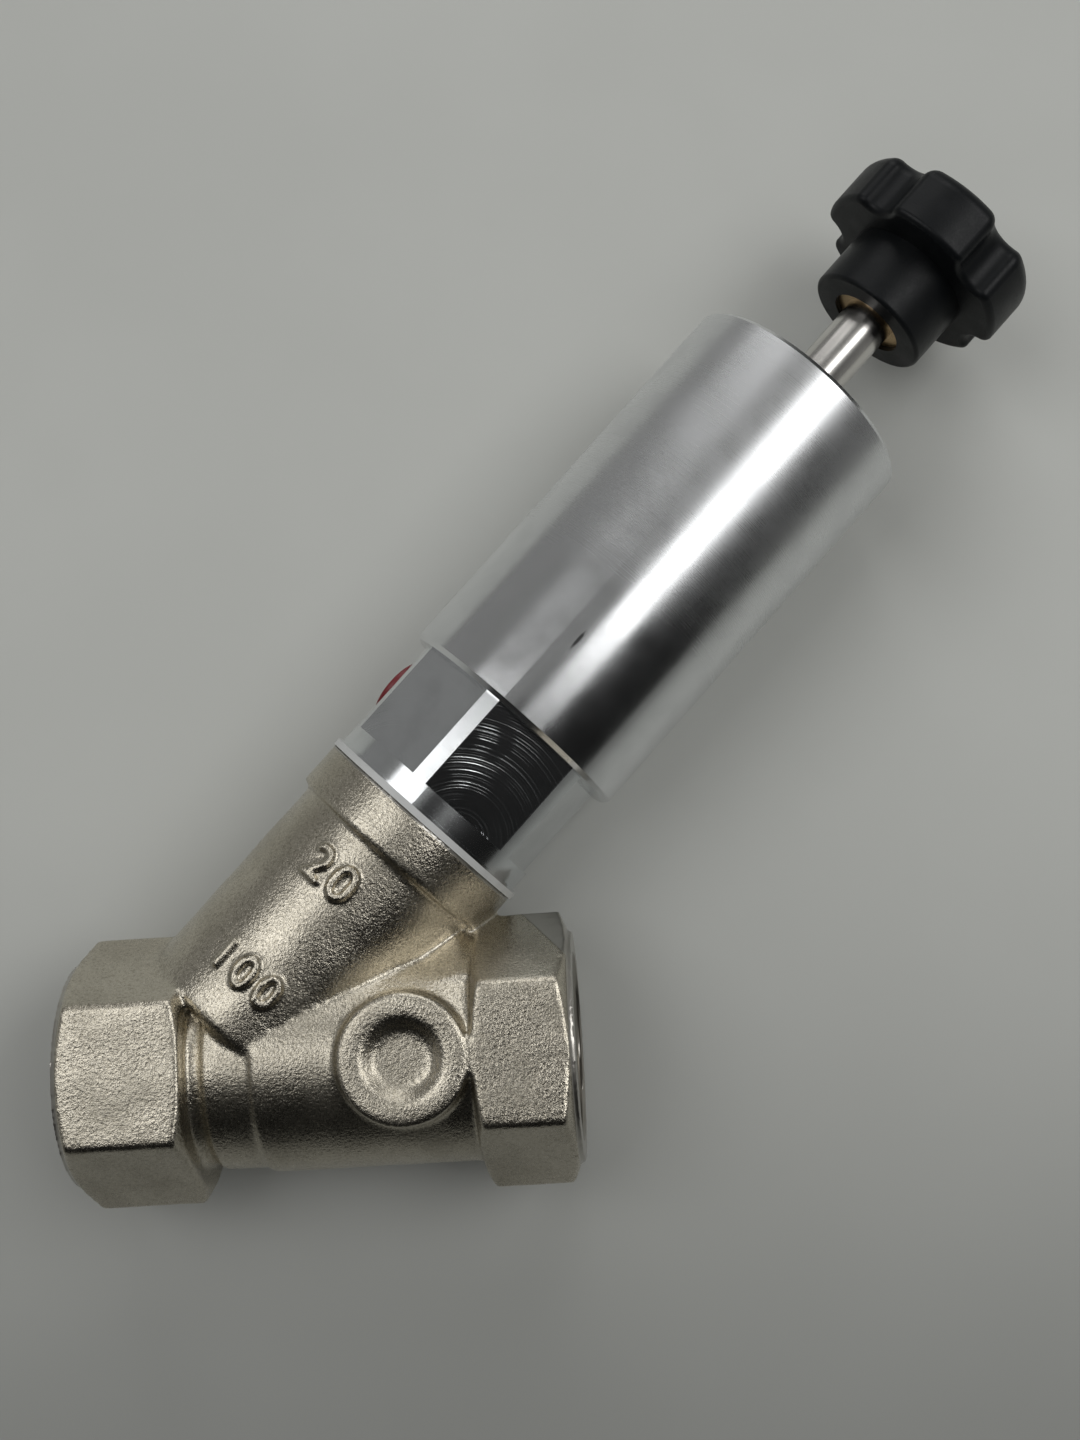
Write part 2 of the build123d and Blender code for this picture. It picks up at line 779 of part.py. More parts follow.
with BuildPart() as spindle:
    revolve(
        section(
            (0, button_bottom),
            (button_diameter / 2, button_bottom),
            (button_diameter / 2, button_top),
            (rod_radius, button_top),
            (rod_radius, insert_bottom),
            (rod_tip_diameter / 2, insert_bottom),
            (rod_tip_diameter / 2, rod_tip_top),
            (0, rod_tip_top),
        ),
        axis=stem_axis,
    )
    with BuildSketch(pin_plane):
        Circle(collar_pin_diameter / 2 + thread_fit)
    extrude(amount=rod_diameter, both=True, mode=Mode.SUBTRACT)
spindle.part.label = "spindle"
export_step(spindle.part, "parts/spindle.step")

with BuildPart() as stop_collar:
    revolve(
        ring_section(
            rod_radius + thread_fit, stop_collar_diameter / 2, stop_collar_bottom, stop_collar_top
        ),
        axis=stem_axis,
    )
    chamfer(stop_collar.edges().filter_by(GeomType.CIRCLE).group_by(SortBy.RADIUS)[-1], length=0.6)
    with BuildSketch(pin_plane):
        Circle(collar_pin_diameter / 2 + thread_fit)
    extrude(amount=stop_collar_diameter, both=True, mode=Mode.SUBTRACT)
stop_collar.part.label = "stop_collar"
export_step(stop_collar.part, "parts/stop_collar.step")

with BuildPart() as collar_pin:
    with BuildSketch(pin_plane):
        Circle(collar_pin_diameter / 2)
    extrude(amount=stop_collar_diameter / 2 - 0.3, both=True)
collar_pin.part.label = "collar_pin"
export_step(collar_pin.part, "parts/collar_pin.step")

# ---------------------------------------------------------------- disc and what it carries
disc_radius = branch_bore / 2 - disc_bore_gap
seal_radius = disc_radius - disc_rim_width
socket_radius = button_diameter / 2 + socket_clearance
ring_groove_radius = socket_radius + retaining_ring_depth
stud_radius = disc_stud_diameter / 2

with BuildPart() as disc:
    revolve(
        section(
            (0, disc_stud_bottom),
            (stud_radius, disc_stud_bottom),
            (stud_radius, seat_station),
            (disc_boss_diameter / 2, seat_station),
            (disc_boss_diameter / 2, seal_top),
            (seal_radius, seal_top),
            (seal_radius, seal_top - seal_grip),
            (disc_radius, seal_top - seal_grip),
            (disc_radius, disc_plate_top),
            (disc_hub_diameter / 2, disc_plate_top),
            (disc_hub_diameter / 2, disc_hub_top),
            (socket_radius, disc_hub_top),
            (socket_radius, retaining_ring_top),
            (ring_groove_radius, retaining_ring_top),
            (ring_groove_radius, retaining_ring_bottom),
            (socket_radius, retaining_ring_bottom),
            (socket_radius, socket_floor),
            (0, socket_floor),
        ),
        axis=stem_axis,
    )
disc.part.label = "disc"
export_step(disc.part, "parts/disc.step")

with BuildPart() as disc_seal:
    revolve(
        ring_section(disc_boss_diameter / 2 + thread_fit, seal_radius - thread_fit, seat_station, seal_top),
        axis=stem_axis,
    )
disc_seal.part.label = "disc_seal"
export_step(disc_seal.part, "parts/disc_seal.step")

with BuildPart() as clamp_washer:
    revolve(
        ring_section(
            stud_radius + thread_fit, clamp_washer_diameter / 2, clamp_washer_bottom, seat_station
        ),
        axis=stem_axis,
    )
clamp_washer.part.label = "clamp_washer"
export_step(clamp_washer.part, "parts/clamp_washer.step")

with BuildPart() as disc_nut:
    with BuildSketch(stem_plane.offset(disc_nut_bottom)):
        RegularPolygon(disc_nut_across_flats / 2, 6, major_radius=False)
        Circle(stud_radius + thread_fit, mode=Mode.SUBTRACT)
    extrude(amount=disc_nut_height)
disc_nut.part.label = "disc_nut"
export_step(disc_nut.part, "parts/disc_nut.step")

with BuildPart() as thrust_washer:
    revolve(ring_section(0.8, socket_radius - thread_fit, socket_floor, button_bottom), axis=stem_axis)
thrust_washer.part.label = "thrust_washer"
export_step(thrust_washer.part, "parts/thrust_washer.step")

with BuildPart() as disc_retaining_ring:
    revolve(
        ring_section(
            rod_radius + socket_clearance,
            ring_groove_radius - thread_fit,
            retaining_ring_bottom,
            retaining_ring_top,
        ),
        axis=stem_axis,
        revolution_arc=360 - snap_ring_gap_angle,
    )
disc_retaining_ring.part.label = "disc_retaining_ring"
export_step(disc_retaining_ring.part, "parts/disc_retaining_ring.step")

# ---------------------------------------------------------------- star knob and its insert
knob_radius = knob_diameter / 2
groove_centre = knob_radius - knob_groove_depth + knob_groove_radius

with BuildPart() as star_knob:
    with BuildSketch(stem_plane.offset(knob_head_bottom)) as star:
        Circle(knob_radius)
        with PolarLocations(groove_centre, knob_lobes, start_angle=knob_turned + 180 / knob_lobes):
            Circle(knob_groove_radius, mode=Mode.SUBTRACT)
        fillet(star.vertices(), radius=knob_groove_blend)
    extrude(amount=knob_head_height)
    rims = star_knob.edges().filter_by(stem_plane).group_by(stem_axis)
    fillet(rims[-1], radius=knob_top_edge)
    rims = star_knob.edges().filter_by(stem_plane).group_by(stem_axis)
    fillet(rims[0], radius=knob_bottom_edge)
    with BuildSketch(stem_plane.offset(knob_bottom)):
        Circle(knob_hub_diameter / 2)
    extrude(amount=knob_hub_height + knob_head_height / 2)
    fillet(star_knob.edges().group_by(stem_axis)[0], radius=knob_hub_edge)
    revolve(
        ring_section(0, insert_diameter / 2, knob_bottom, insert_top), axis=stem_axis, mode=Mode.SUBTRACT
    )
star_knob.part.label = "star_knob"
export_step(star_knob.part, "parts/star_knob.step")

with BuildPart() as knob_insert:
    revolve(
        ring_section(
            rod_tip_diameter / 2 + thread_fit, insert_diameter / 2 - thread_fit, insert_bottom, insert_top
        ),
        axis=stem_axis,
    )
knob_insert.part.label = "knob_insert"
export_step(knob_insert.part, "parts/knob_insert.step")

print(f"body length {body_length:.1f}, neck top {neck_top:.2f}, sleeve {sleeve_bottom:.2f} to {sleeve_top:.2f}")
print(f"knob from {knob_bottom:.2f} to {knob_top:.2f}, gland top {gland_top:.2f}, port at {port_station:.2f}")
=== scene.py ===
"""Dresses the angle seat valve: its cast body, threads and raised numerals, and every piece's finish.

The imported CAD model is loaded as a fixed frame. Every piece made here is in metres, in the same
frame as the CAD, and rides on one of its bodies.
"""

from __future__ import annotations

import json
import logging
import math
from collections.abc import Sequence
from dataclasses import dataclass, field
from enum import Enum
from functools import partial, reduce

import bmesh
import bpy
import numpy as np
from mathutils import Matrix, Vector

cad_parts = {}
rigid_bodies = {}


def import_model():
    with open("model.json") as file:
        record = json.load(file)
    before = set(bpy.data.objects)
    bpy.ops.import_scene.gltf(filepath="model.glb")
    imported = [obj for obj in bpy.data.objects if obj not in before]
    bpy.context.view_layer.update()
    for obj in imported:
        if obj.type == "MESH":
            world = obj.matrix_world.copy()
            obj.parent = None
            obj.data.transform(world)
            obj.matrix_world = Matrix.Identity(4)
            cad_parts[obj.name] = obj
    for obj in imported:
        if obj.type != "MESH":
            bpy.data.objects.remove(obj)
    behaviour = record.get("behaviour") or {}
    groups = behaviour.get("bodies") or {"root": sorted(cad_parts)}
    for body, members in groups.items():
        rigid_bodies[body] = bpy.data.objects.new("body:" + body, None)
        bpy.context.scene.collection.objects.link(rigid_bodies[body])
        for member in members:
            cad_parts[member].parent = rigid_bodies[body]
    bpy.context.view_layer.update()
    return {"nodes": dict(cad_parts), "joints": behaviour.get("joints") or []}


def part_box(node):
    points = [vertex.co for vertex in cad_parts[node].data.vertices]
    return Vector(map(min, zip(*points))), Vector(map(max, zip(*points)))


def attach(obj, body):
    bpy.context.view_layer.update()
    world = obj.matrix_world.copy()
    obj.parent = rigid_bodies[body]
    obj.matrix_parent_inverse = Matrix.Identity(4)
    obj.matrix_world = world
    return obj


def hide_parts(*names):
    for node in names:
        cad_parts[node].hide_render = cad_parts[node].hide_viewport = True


LOG = logging.getLogger("angle_seat_valve")
MM = 0.001
SEED = 7
RISE = (0.0, 1.0)
FALL = (1.0, 0.0)
MID_NOISE = (0.3, 0.7)  # the range that most of a noise lies in

Triple = tuple[float, float, float]
Colour = Triple
Socket = bpy.types.NodeSocket
Value = Socket | float
Feeds = dict[str | int, object]


class Way(Enum):
    """The line that a turned surface was turned about."""

    PIPE = "pipe"
    STEM = "stem"


class Mouth(Enum):
    """The two threaded ends of the run."""

    INLET = "inlet"
    OUTLET = "outlet"


@dataclass(frozen=True)
class StemLine:
    """The stem's own axes, from the point where its line crosses the pipe's."""

    crossing: Triple
    along: Triple

    @classmethod
    def of_frame(cls, joints: list[dict]) -> StemLine:
        """Reads the stem's line from the hinge of the knob.

        Args:
            joints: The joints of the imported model.

        Returns:
            The line that the spindle turns about.
        """
        hinge = next(joint for joint in joints if joint["type"] == "hinge")
        return cls(tuple(hinge["pos_m"]), tuple(Vector(hinge["axis"]).normalized()))

    def basis(self) -> Matrix:
        """Gives the rows up, across and along, which turn a point into the stem's axes.

        Returns:
            A 3 by 3 rotation.
        """
        along = Vector(self.along)
        up = Vector((0.0, 0.0, 1.0))
        return Matrix((up, along.cross(up), along))


class NodePen:
    """Writes nodes into one node tree, for a material, the world or a Geometry Nodes rig."""

    def __init__(self, tree: bpy.types.NodeTree) -> None:
        """Keeps the tree that the nodes are written in."""
        self.tree = tree

    def add(self, kind: str, feeds: Feeds | None = None, **settings: object) -> bpy.types.Node:
        """Adds a node.

        Args:
            kind: The node's type.
            feeds: What goes into each of its inputs, a number, a colour or another node's output.
            settings: The node's own properties.

        Returns:
            The new node.
        """
        node = self.tree.nodes.new(kind)
        for name, value in settings.items():
            setattr(node, name, value)
        for name, value in (feeds or {}).items():
            self.feed(node.inputs[name], value)
        return node

    def feed(self, socket: Socket, value: object) -> None:
        """Links an output to a socket, or sets the socket's own value.

        Args:
            socket: The input to feed.
            value: What goes into it.
        """
        if isinstance(value, Socket):
            self.tree.links.new(value, socket)
        else:
            socket.default_value = value

    def math(self, operation: str, *values: Value) -> Socket:
        """Adds a Math node and returns its result."""
        return self.add("ShaderNodeMath", dict(enumerate(values)), operation=operation).outputs[0]

    def plus(self, *values: Value) -> Socket:
        """Adds numbers up."""
        return reduce(partial(self.math, "ADD"), values)

    def minus(self, first: Value, second: Value) -> Socket:
        """Takes the second number from the first."""
        return self.math("SUBTRACT", first, second)

    def times(self, *values: Value) -> Socket:
        """Multiplies numbers."""
        return reduce(partial(self.math, "MULTIPLY"), values)

    def between(self, share: Value, first: Value, second: Value) -> Socket:
        """Goes in a straight line from the first number, at share 0, to the second, at share 1."""
        rest = self.minus(1.0, share) if isinstance(share, Socket) else 1.0 - share
        return self.plus(self.times(first, rest), self.times(second, share))

    def split(self, vector: Socket) -> bpy.types.bpy_prop_collection:
        """Gives a vector's parts, by the names X, Y and Z."""
        return self.add("ShaderNodeSeparateXYZ", {0: vector}).outputs

    def vector(self, **parts: Value) -> Socket:
        """Joins the parts X, Y and Z into a vector. A part that is left out is 0."""
        return self.add("ShaderNodeCombineXYZ", parts).outputs[0]

    def turned(self, radius: Value, angle: Value) -> tuple[Socket, ...]:
        """Gives the two parts of a point that lies at a radius and an angle."""
        return tuple(self.times(radius, self.math(name, angle)) for name in ("COSINE", "SINE"))

    def length(self, vector: Socket) -> Socket:
        """Gives a vector's length."""
        return self.add("ShaderNodeVectorMath", {0: vector}, operation="LENGTH").outputs["Value"]

    def radius(self, point: Socket) -> Socket:
        """Gives how far a point is from the line of its third axis."""
        parts = self.split(point)
        return self.length(self.vector(X=parts["X"], Y=parts["Y"]))

    def scaled(self, value: Socket, low: float, high: float, into: tuple[float, float] = RISE) -> Socket:
        """Maps one range of numbers to another, smoothly and without going past its ends.

        Args:
            value: The number to map.
            low: Where the range starts.
            high: Where the range ends.
            into: What the two ends become.

        Returns:
            The mapped number.
        """
        feeds = {"Value": value, "From Min": low, "From Max": high, "To Min": into[0], "To Max": into[1]}
        return self.add("ShaderNodeMapRange", feeds, interpolation_type="SMOOTHSTEP").outputs["Result"]

    def noise(self, vector: Socket, scale: float, detail: float = 2.0, rough: float = 0.5) -> Socket:
        """Adds a noise of so many grains a millimetre.

        Args:
            vector: The point, in millimetres.
            scale: Grains for each millimetre.
            detail: How many finer layers lie on the noise.
            rough: How strong the finer layers are.

        Returns:
            The noise, from 0 to 1.
        """
        feeds = {"Vector": vector, "Scale": scale, "Detail": detail, "Roughness": rough}
        return self.add("ShaderNodeTexNoise", feeds).outputs["Fac"]

    def lines(self, reach: Socket, scale: float, detail: float, rough: float) -> Socket:
        """Adds a noise that changes in one direction only, as the lines of a tool do."""
        feeds = {"W": reach, "Scale": scale, "Detail": detail, "Roughness": rough}
        return self.add("ShaderNodeTexNoise", feeds, noise_dimensions="1D").outputs["Fac"]

    def blend(self, share: Socket, first: object, second: object) -> Socket:
        """Mixes two colours.

        Args:
            share: How much of the second colour shows.
            first: The first colour.
            second: The second colour.

        Returns:
            The mixed colour.
        """
        node = self.add("ShaderNodeMix", data_type="RGBA")
        self.feed(node.inputs[0], share)
        for index, colour in ((6, first), (7, second)):
            self.feed(node.inputs[index], (*colour, 1.0) if isinstance(colour, tuple) else colour)
        return node.outputs[2]

    def bump(self, height: Socket, depth: float) -> Socket:
        """Turns a height from 0 to 1 into a normal, where 1 is so many metres deep."""
        feeds = {"Height": height, "Distance": depth, "Strength": 1.0}
        return self.add("ShaderNodeBump", feeds).outputs["Normal"]


@dataclass(frozen=True)
class Place:
    """Where a pattern lies: a line to measure from, with its axes."""

    stem: StemLine
    way: Way

    def millimetres(self, pen: NodePen) -> Socket:
        """Gives the point in millimetres, with its third axis along the line.

        Args:
            pen: Writes the nodes.

        Returns:
            The point on the line's axes.
        """
        if self.way is Way.STEM:
            turn, start = self.stem.basis(), Vector(self.stem.crossing)
        else:
            turn, start = Matrix(((0, 1, 0), (0, 0, 1), (1, 0, 0))), Vector((0.0, 0.0, 0.0))
        feeds = {
            "Vector": pen.add("ShaderNodeTexCoord").outputs["Object"],
            "Location": -(turn @ start) / MM,
            "Rotation": turn.to_euler("XYZ"),
            "Scale": (1 / MM,) * 3,
        }
        return pen.add("ShaderNodeMapping", feeds, vector_type="POINT").outputs["Vector"]


@dataclass(frozen=True)
class Finish:
    """A surface finish. Each kind writes its own grain, wear and gloss into a material."""

    name: str
    colour: Colour
    rough: float
    place: Place
    metal: float = 1.0

    def material(self) -> bpy.types.Material:
        """Makes the material of this finish.

        Returns:
            A new material.
        """
        made = bpy.data.materials.new(self.name)
        made.use_nodes = True
        made.diffuse_color = (*self.colour, 1.0)
        made.node_tree.nodes.clear()
        pen = NodePen(made.node_tree)
        shader = pen.add("ShaderNodeBsdfPrincipled", {"Metallic": self.metal})
        self.write(pen, shader)
        pen.add("ShaderNodeOutputMaterial", {"Surface": shader.outputs["BSDF"]})
        return made

    def write(self, pen: NodePen, shader: bpy.types.Node) -> None:
        """Feeds the shader. Each kind of finish has its own way."""
        raise NotImplementedError


@dataclass(frozen=True)
class CastFinish(Finish):
    """Blasted investment casting, grainy all over, with its mouths, bores and neck top turned bright."""

    shade: Colour = (0.26, 0.235, 0.18)
    bright: Colour = (0.50, 0.48, 0.44)
    glint: Colour = (0.80, 0.75, 0.66)
    grain: float = 2.2
    grain_depth: float = 0.13 * MM
    fine_times: float = 3.1
    fine_height: float = 0.22
    cloud: float = 0.11
    cloud_shade: float = 0.35
    pit_range: tuple[float, float] = (0.30, 0.56)
    pit_shade: float = 0.62
    glint_range: tuple[float, float] = (0.52, 0.68)
    glint_share: float = 0.6
    gloss_below: float = 0.07
    gloss_above: float = 0.1
    turned_rough: float = 0.30
    turned_lines: float = 6.0
    turned_height: float = 0.06
    turned_edge: float = 0.1
    mouth_band: float = 0.75
    length: float = 72.9
    neck_top: float = 47.95

    def turned_share(self, pen: NodePen, point: Socket, stem_point: Socket) -> Socket:
        """Finds the faces that were turned after casting.

        Args:
            pen: Writes the nodes.
            point: The point on the pipe's axes, in millimetres.
            stem_point: The point on the stem's axes, in millimetres.

        Returns:
            1 on a turned face and 0 on the cast skin.
        """
        half = self.length / 2
        off_middle = pen.math("ABSOLUTE", pen.minus(pen.split(point)["Z"], half))
        band, edge = half - self.mouth_band, self.turned_edge
        mouth = pen.scaled(off_middle, band - edge, band + edge)
        neck = pen.scaled(pen.split(stem_point)["Z"], self.neck_top - edge, self.neck_top + edge)
        return pen.math("MAXIMUM", mouth, neck)

    def write(self, pen: NodePen, shader: bpy.types.Node) -> None:
        """Feeds the shader with blasted grain, cloudy tone and fine rings on the turned faces.

        Args:
            pen: Writes the nodes.
            shader: The shader that takes them.
        """
        point = self.place.millimetres(pen)
        stem_point = Place(self.place.stem, Way.STEM).millimetres(pen)
        turned = self.turned_share(pen, point, stem_point)
        grain = pen.noise(point, self.grain, 2.5, 0.62)
        fine = pen.noise(point, self.grain * self.fine_times, 1.0)
        cloud = pen.noise(point, self.cloud)
        pits = pen.times(pen.scaled(grain, *self.pit_range, FALL), self.pit_shade)
        tone = pen.blend(pen.scaled(cloud, *MID_NOISE, (0.0, self.cloud_shade)), self.colour, self.shade)
        tone = pen.blend(pits, tone, self.shade)
        tone = pen.blend(pen.scaled(fine, *self.glint_range, (0.0, self.glint_share)), tone, self.glint)
        pen.feed(shader.inputs["Base Color"], pen.blend(turned, tone, self.bright))
        spread = (self.rough - self.gloss_below, self.rough + self.gloss_above)
        gloss = pen.scaled(pen.between(0.5, fine, cloud), *MID_NOISE, spread)
        pen.feed(shader.inputs["Roughness"], pen.between(turned, gloss, self.turned_rough))
        skin = pen.between(self.fine_height, grain, fine)
        rings = pen.times(pen.noise(stem_point, self.turned_lines, 1.0), self.turned_height)
        pen.feed(shader.inputs["Normal"], pen.bump(pen.between(turned, skin, rings), self.grain_depth))


@dataclass(frozen=True)
class TurnedFinish(Finish):
    """Turned metal: fine rings about its line, on round faces and end faces alike, with faint stains."""

    lines: float = 7.0
    line_depth: float = 0.0022 * MM
    stain: float = 0.04
    stain_scale: float = 0.16
    stain_range: tuple[float, float] = (0.35, 0.75)
    gloss_spread: float = 0.05
    mark: tuple[Triple, float] | None = None
    mark_turn: float = 0.5
    mark_stretch: Triple = (0.4, 1.0, 0.16)
    mark_ragged: float = 0.16
    mark_share: float = 0.85
    mark_colour: Colour = (0.05, 0.05, 0.05)
    grading: tuple[float, float, float, float] = (0.0, 1.0, 0.0, 0.0)

    def rings(self, pen: NodePen, point: Socket) -> Socket:
        """Gives the height of the tool's rings, from 0 to 1."""
        reach = pen.plus(pen.split(point)["Z"], pen.radius(point))
        return pen.lines(reach, self.lines, 3.0, 0.65)

    def height(self, pen: NodePen, point: Socket) -> Socket:
        """Gives the height of the surface's marks, from 0 to 1."""
        return self.rings(pen, point)

    def write(self, pen: NodePen, shader: bpy.types.Node) -> None:
        """Feeds the shader with rings, stains and an uneven gloss.

        Args:
            pen: Writes the nodes.
            shader: The shader that takes them.
        """
        point = self.place.millimetres(pen)
        height = self.height(pen, point)
        cloud = pen.noise(point, self.stain_scale, 3.0)
        dark = tuple(channel * (1 - 3 * self.stain) for channel in self.colour)
        tone = pen.blend(pen.scaled(cloud, *self.stain_range), self.colour, dark)
        if self.mark is not None:
            tone = pen.blend(self.scratch(pen, point), tone, self.mark_colour)
        spread = (self.rough - self.gloss_spread, self.rough + self.gloss_spread)
        gloss = pen.scaled(pen.between(0.5, height, cloud), *MID_NOISE, spread)
        pen.feed(shader.inputs["Base Color"], tone)
        pen.feed(shader.inputs["Roughness"], pen.plus(gloss, self.duller(pen, point)))
        pen.feed(shader.inputs["Normal"], pen.bump(height, self.line_depth))

    def duller(self, pen: NodePen, point: Socket) -> Socket:
        """Says how much duller the metal grows along its line, as added roughness."""
        first, last, least, most = self.grading
        return pen.scaled(pen.split(point)["Z"], first, last, (least, most))

    def scratch(self, pen: NodePen, point: Socket) -> Socket:
        """Finds one short handling mark.

        Args:
            pen: Writes the nodes.
            point: The point on the line's axes, in millimetres.

        Returns:
            The mark's share, from 0 to 1.
        """
        centre, size = self.mark
        moved = {"Vector": point, "Location": tuple(-c for c in centre)}
        off = pen.add("ShaderNodeMapping", moved).outputs["Vector"]
        shaped = {"Vector": off, "Rotation": (self.mark_turn, 0.0, 0.0), "Scale": self.mark_stretch}
        apart = pen.length(pen.add("ShaderNodeMapping", shaped).outputs["Vector"])
        ragged = pen.plus(apart, pen.times(pen.noise(point, 1.6), self.mark_ragged))
        return pen.scaled(ragged, size * 0.6, size * 1.2, (self.mark_share, 0.0))


@dataclass(frozen=True)
class MilledFinish(TurnedFinish):
    """Bright aluminium with turned bands and six flats that carry the arcs of the end mill."""

    flats_from: float = 52.75
    flats_to: float = 68.45
    flats_turned: float = 24.0
    flats: int = 6
    flats_edge: float = 0.05
    round_from: tuple[float, float] = (16.8, 16.88)
    arc_centre: tuple[float, float] = (1.5, 49.5)
    arc_lines: float = 3.2
    arc_depth: float = 8.0
    patch_range: tuple[float, float] = (0.40, 0.60)
    patch_least: float = 0.3
    band_dull: float = 0.07

    def height(self, pen: NodePen, point: Socket) -> Socket:
        """Gives rings on the bands and the end mill's arcs on the flats.

        Args:
            pen: Writes the nodes.
            point: The point on the stem's axes, in millimetres.

        Returns:
            The height of the marks.
        """
        parts, radius = pen.split(point), pen.radius(point)
        angle = pen.math("ARCTAN2", parts["Y"], parts["X"])
        step, first = math.radians(360 / self.flats), math.radians(self.flats_turned)
        turns = pen.math("DIVIDE", pen.minus(angle, first), step)
        off = pen.times(pen.minus(turns, pen.math("ROUND", turns)), step)
        across = pen.minus(pen.times(radius, pen.math("SINE", off)), self.arc_centre[0])
        along = pen.minus(parts["Z"], self.arc_centre[1])
        arcs = pen.lines(pen.length(pen.vector(X=across, Y=along)), self.arc_lines, 0.5, 0.6)
        patch = pen.scaled(pen.noise(point, 0.2, 1.0), *self.patch_range, (self.patch_least, 1.0))
        arcs = pen.times(pen.minus(arcs, 0.5), self.arc_depth, patch)
        return pen.between(self.milled_share(pen, point), self.rings(pen, point), arcs)

    def milled_share(self, pen: NodePen, point: Socket) -> Socket:
        """Tells the flats from the turned bands.

        Args:
            pen: Writes the nodes.
            point: The point on the stem's axes, in millimetres.

        Returns:
            1 on a flat and 0 on a turned band.
        """
        station, edge = pen.split(point)["Z"], self.flats_edge
        first_step = pen.scaled(station, self.flats_from - edge, self.flats_from + edge)
        last_step = pen.scaled(station, self.flats_to - edge, self.flats_to + edge, FALL)
        return pen.times(first_step, last_step, pen.scaled(pen.radius(point), *self.round_from, FALL))

    def duller(self, pen: NodePen, point: Socket) -> Socket:
        """Leaves the flats bright and makes the turned bands a little duller."""
        return pen.scaled(self.milled_share(pen, point), 0.0, 1.0, (self.band_dull, 0.0))


@dataclass(frozen=True)
class MouldedFinish(Finish):
    """Moulded plastic or rubber: a fine spark-eroded skin, dull in its hollows, with rubbed patches."""

    metal: float = 0.0
    texture: float = 3.4
    texture_depth: float = 0.012 * MM
    rubbed: Colour = (0.03, 0.03, 0.032)
    rubbed_scale: float = 0.25
    rubbed_range: tuple[float, float] = (0.45, 0.8)
    rubbed_share: float = 0.6
    specular: float = 0.5
    gloss_below: float = 0.07
    gloss_above: float = 0.08

    def write(self, pen: NodePen, shader: bpy.types.Node) -> None:
        """Feeds the shader with the mould's texture and rubbed patches.

        Args:
            pen: Writes the nodes.
            shader: The shader that takes them.
        """
        point = self.place.millimetres(pen)
        skin = pen.noise(point, self.texture)
        cloud = pen.noise(point, self.rubbed_scale, 3.0)
        rubbed = pen.scaled(cloud, *self.rubbed_range, (0.0, self.rubbed_share))
        spread = (self.rough - self.gloss_below, self.rough + self.gloss_above)
        pen.feed(shader.inputs["Specular IOR Level"], self.specular)
        pen.feed(shader.inputs["Base Color"], pen.blend(rubbed, self.colour, self.rubbed))
        pen.feed(shader.inputs["Roughness"], pen.scaled(pen.between(0.6, skin, cloud), *MID_NOISE, spread))
        pen.feed(shader.inputs["Normal"], pen.bump(skin, self.texture_depth))


@dataclass(frozen=True)
class FloorFinish(Finish):
    """A pale, even table top with the faintest mottle, and painted shade that darkens its colour towards the
    near side.
    """

    metal: float = 0.0
    second: Colour = (0.565, 0.575, 0.545)
    mottle: float = 0.02
    specular: float = 0.3
    gloss_spread: float = 0.03
    # Painted shade: how far the floor's colour darkens towards the near side, and between which two places,
    # in millimetres.
    painted_shade_tone: float = 0.50
    painted_shade_edge: tuple[float, float] = (-90.0, 55.0)

    def write(self, pen: NodePen, shader: bpy.types.Node) -> None:
        """Feeds the shader with the mottle and with painted shade, a fall-off of light painted into the
        colour towards the near side.

        Args:
            pen: Writes the nodes.
            shader: The shader that takes them.
        """
        point = self.place.millimetres(pen)
        cloud = pen.noise(point, self.mottle, 3.0)
        tone = pen.blend(pen.scaled(cloud, *MID_NOISE), self.colour, self.second)
        # Painted shade: near mixes the base colour towards black, by up to half, towards the near side,
        # standing in for light that falls off there.
        near = pen.scaled(pen.split(point)["X"], *self.painted_shade_edge, (1.0 - self.painted_shade_tone, 0.0))
        spread = (self.rough - self.gloss_spread, self.rough + self.gloss_spread)
        pen.feed(shader.inputs["Specular IOR Level"], self.specular)
        pen.feed(shader.inputs["Base Color"], pen.blend(near, tone, (0.0, 0.0, 0.0)))
        pen.feed(shader.inputs["Roughness"], pen.scaled(cloud, *MID_NOISE, spread))


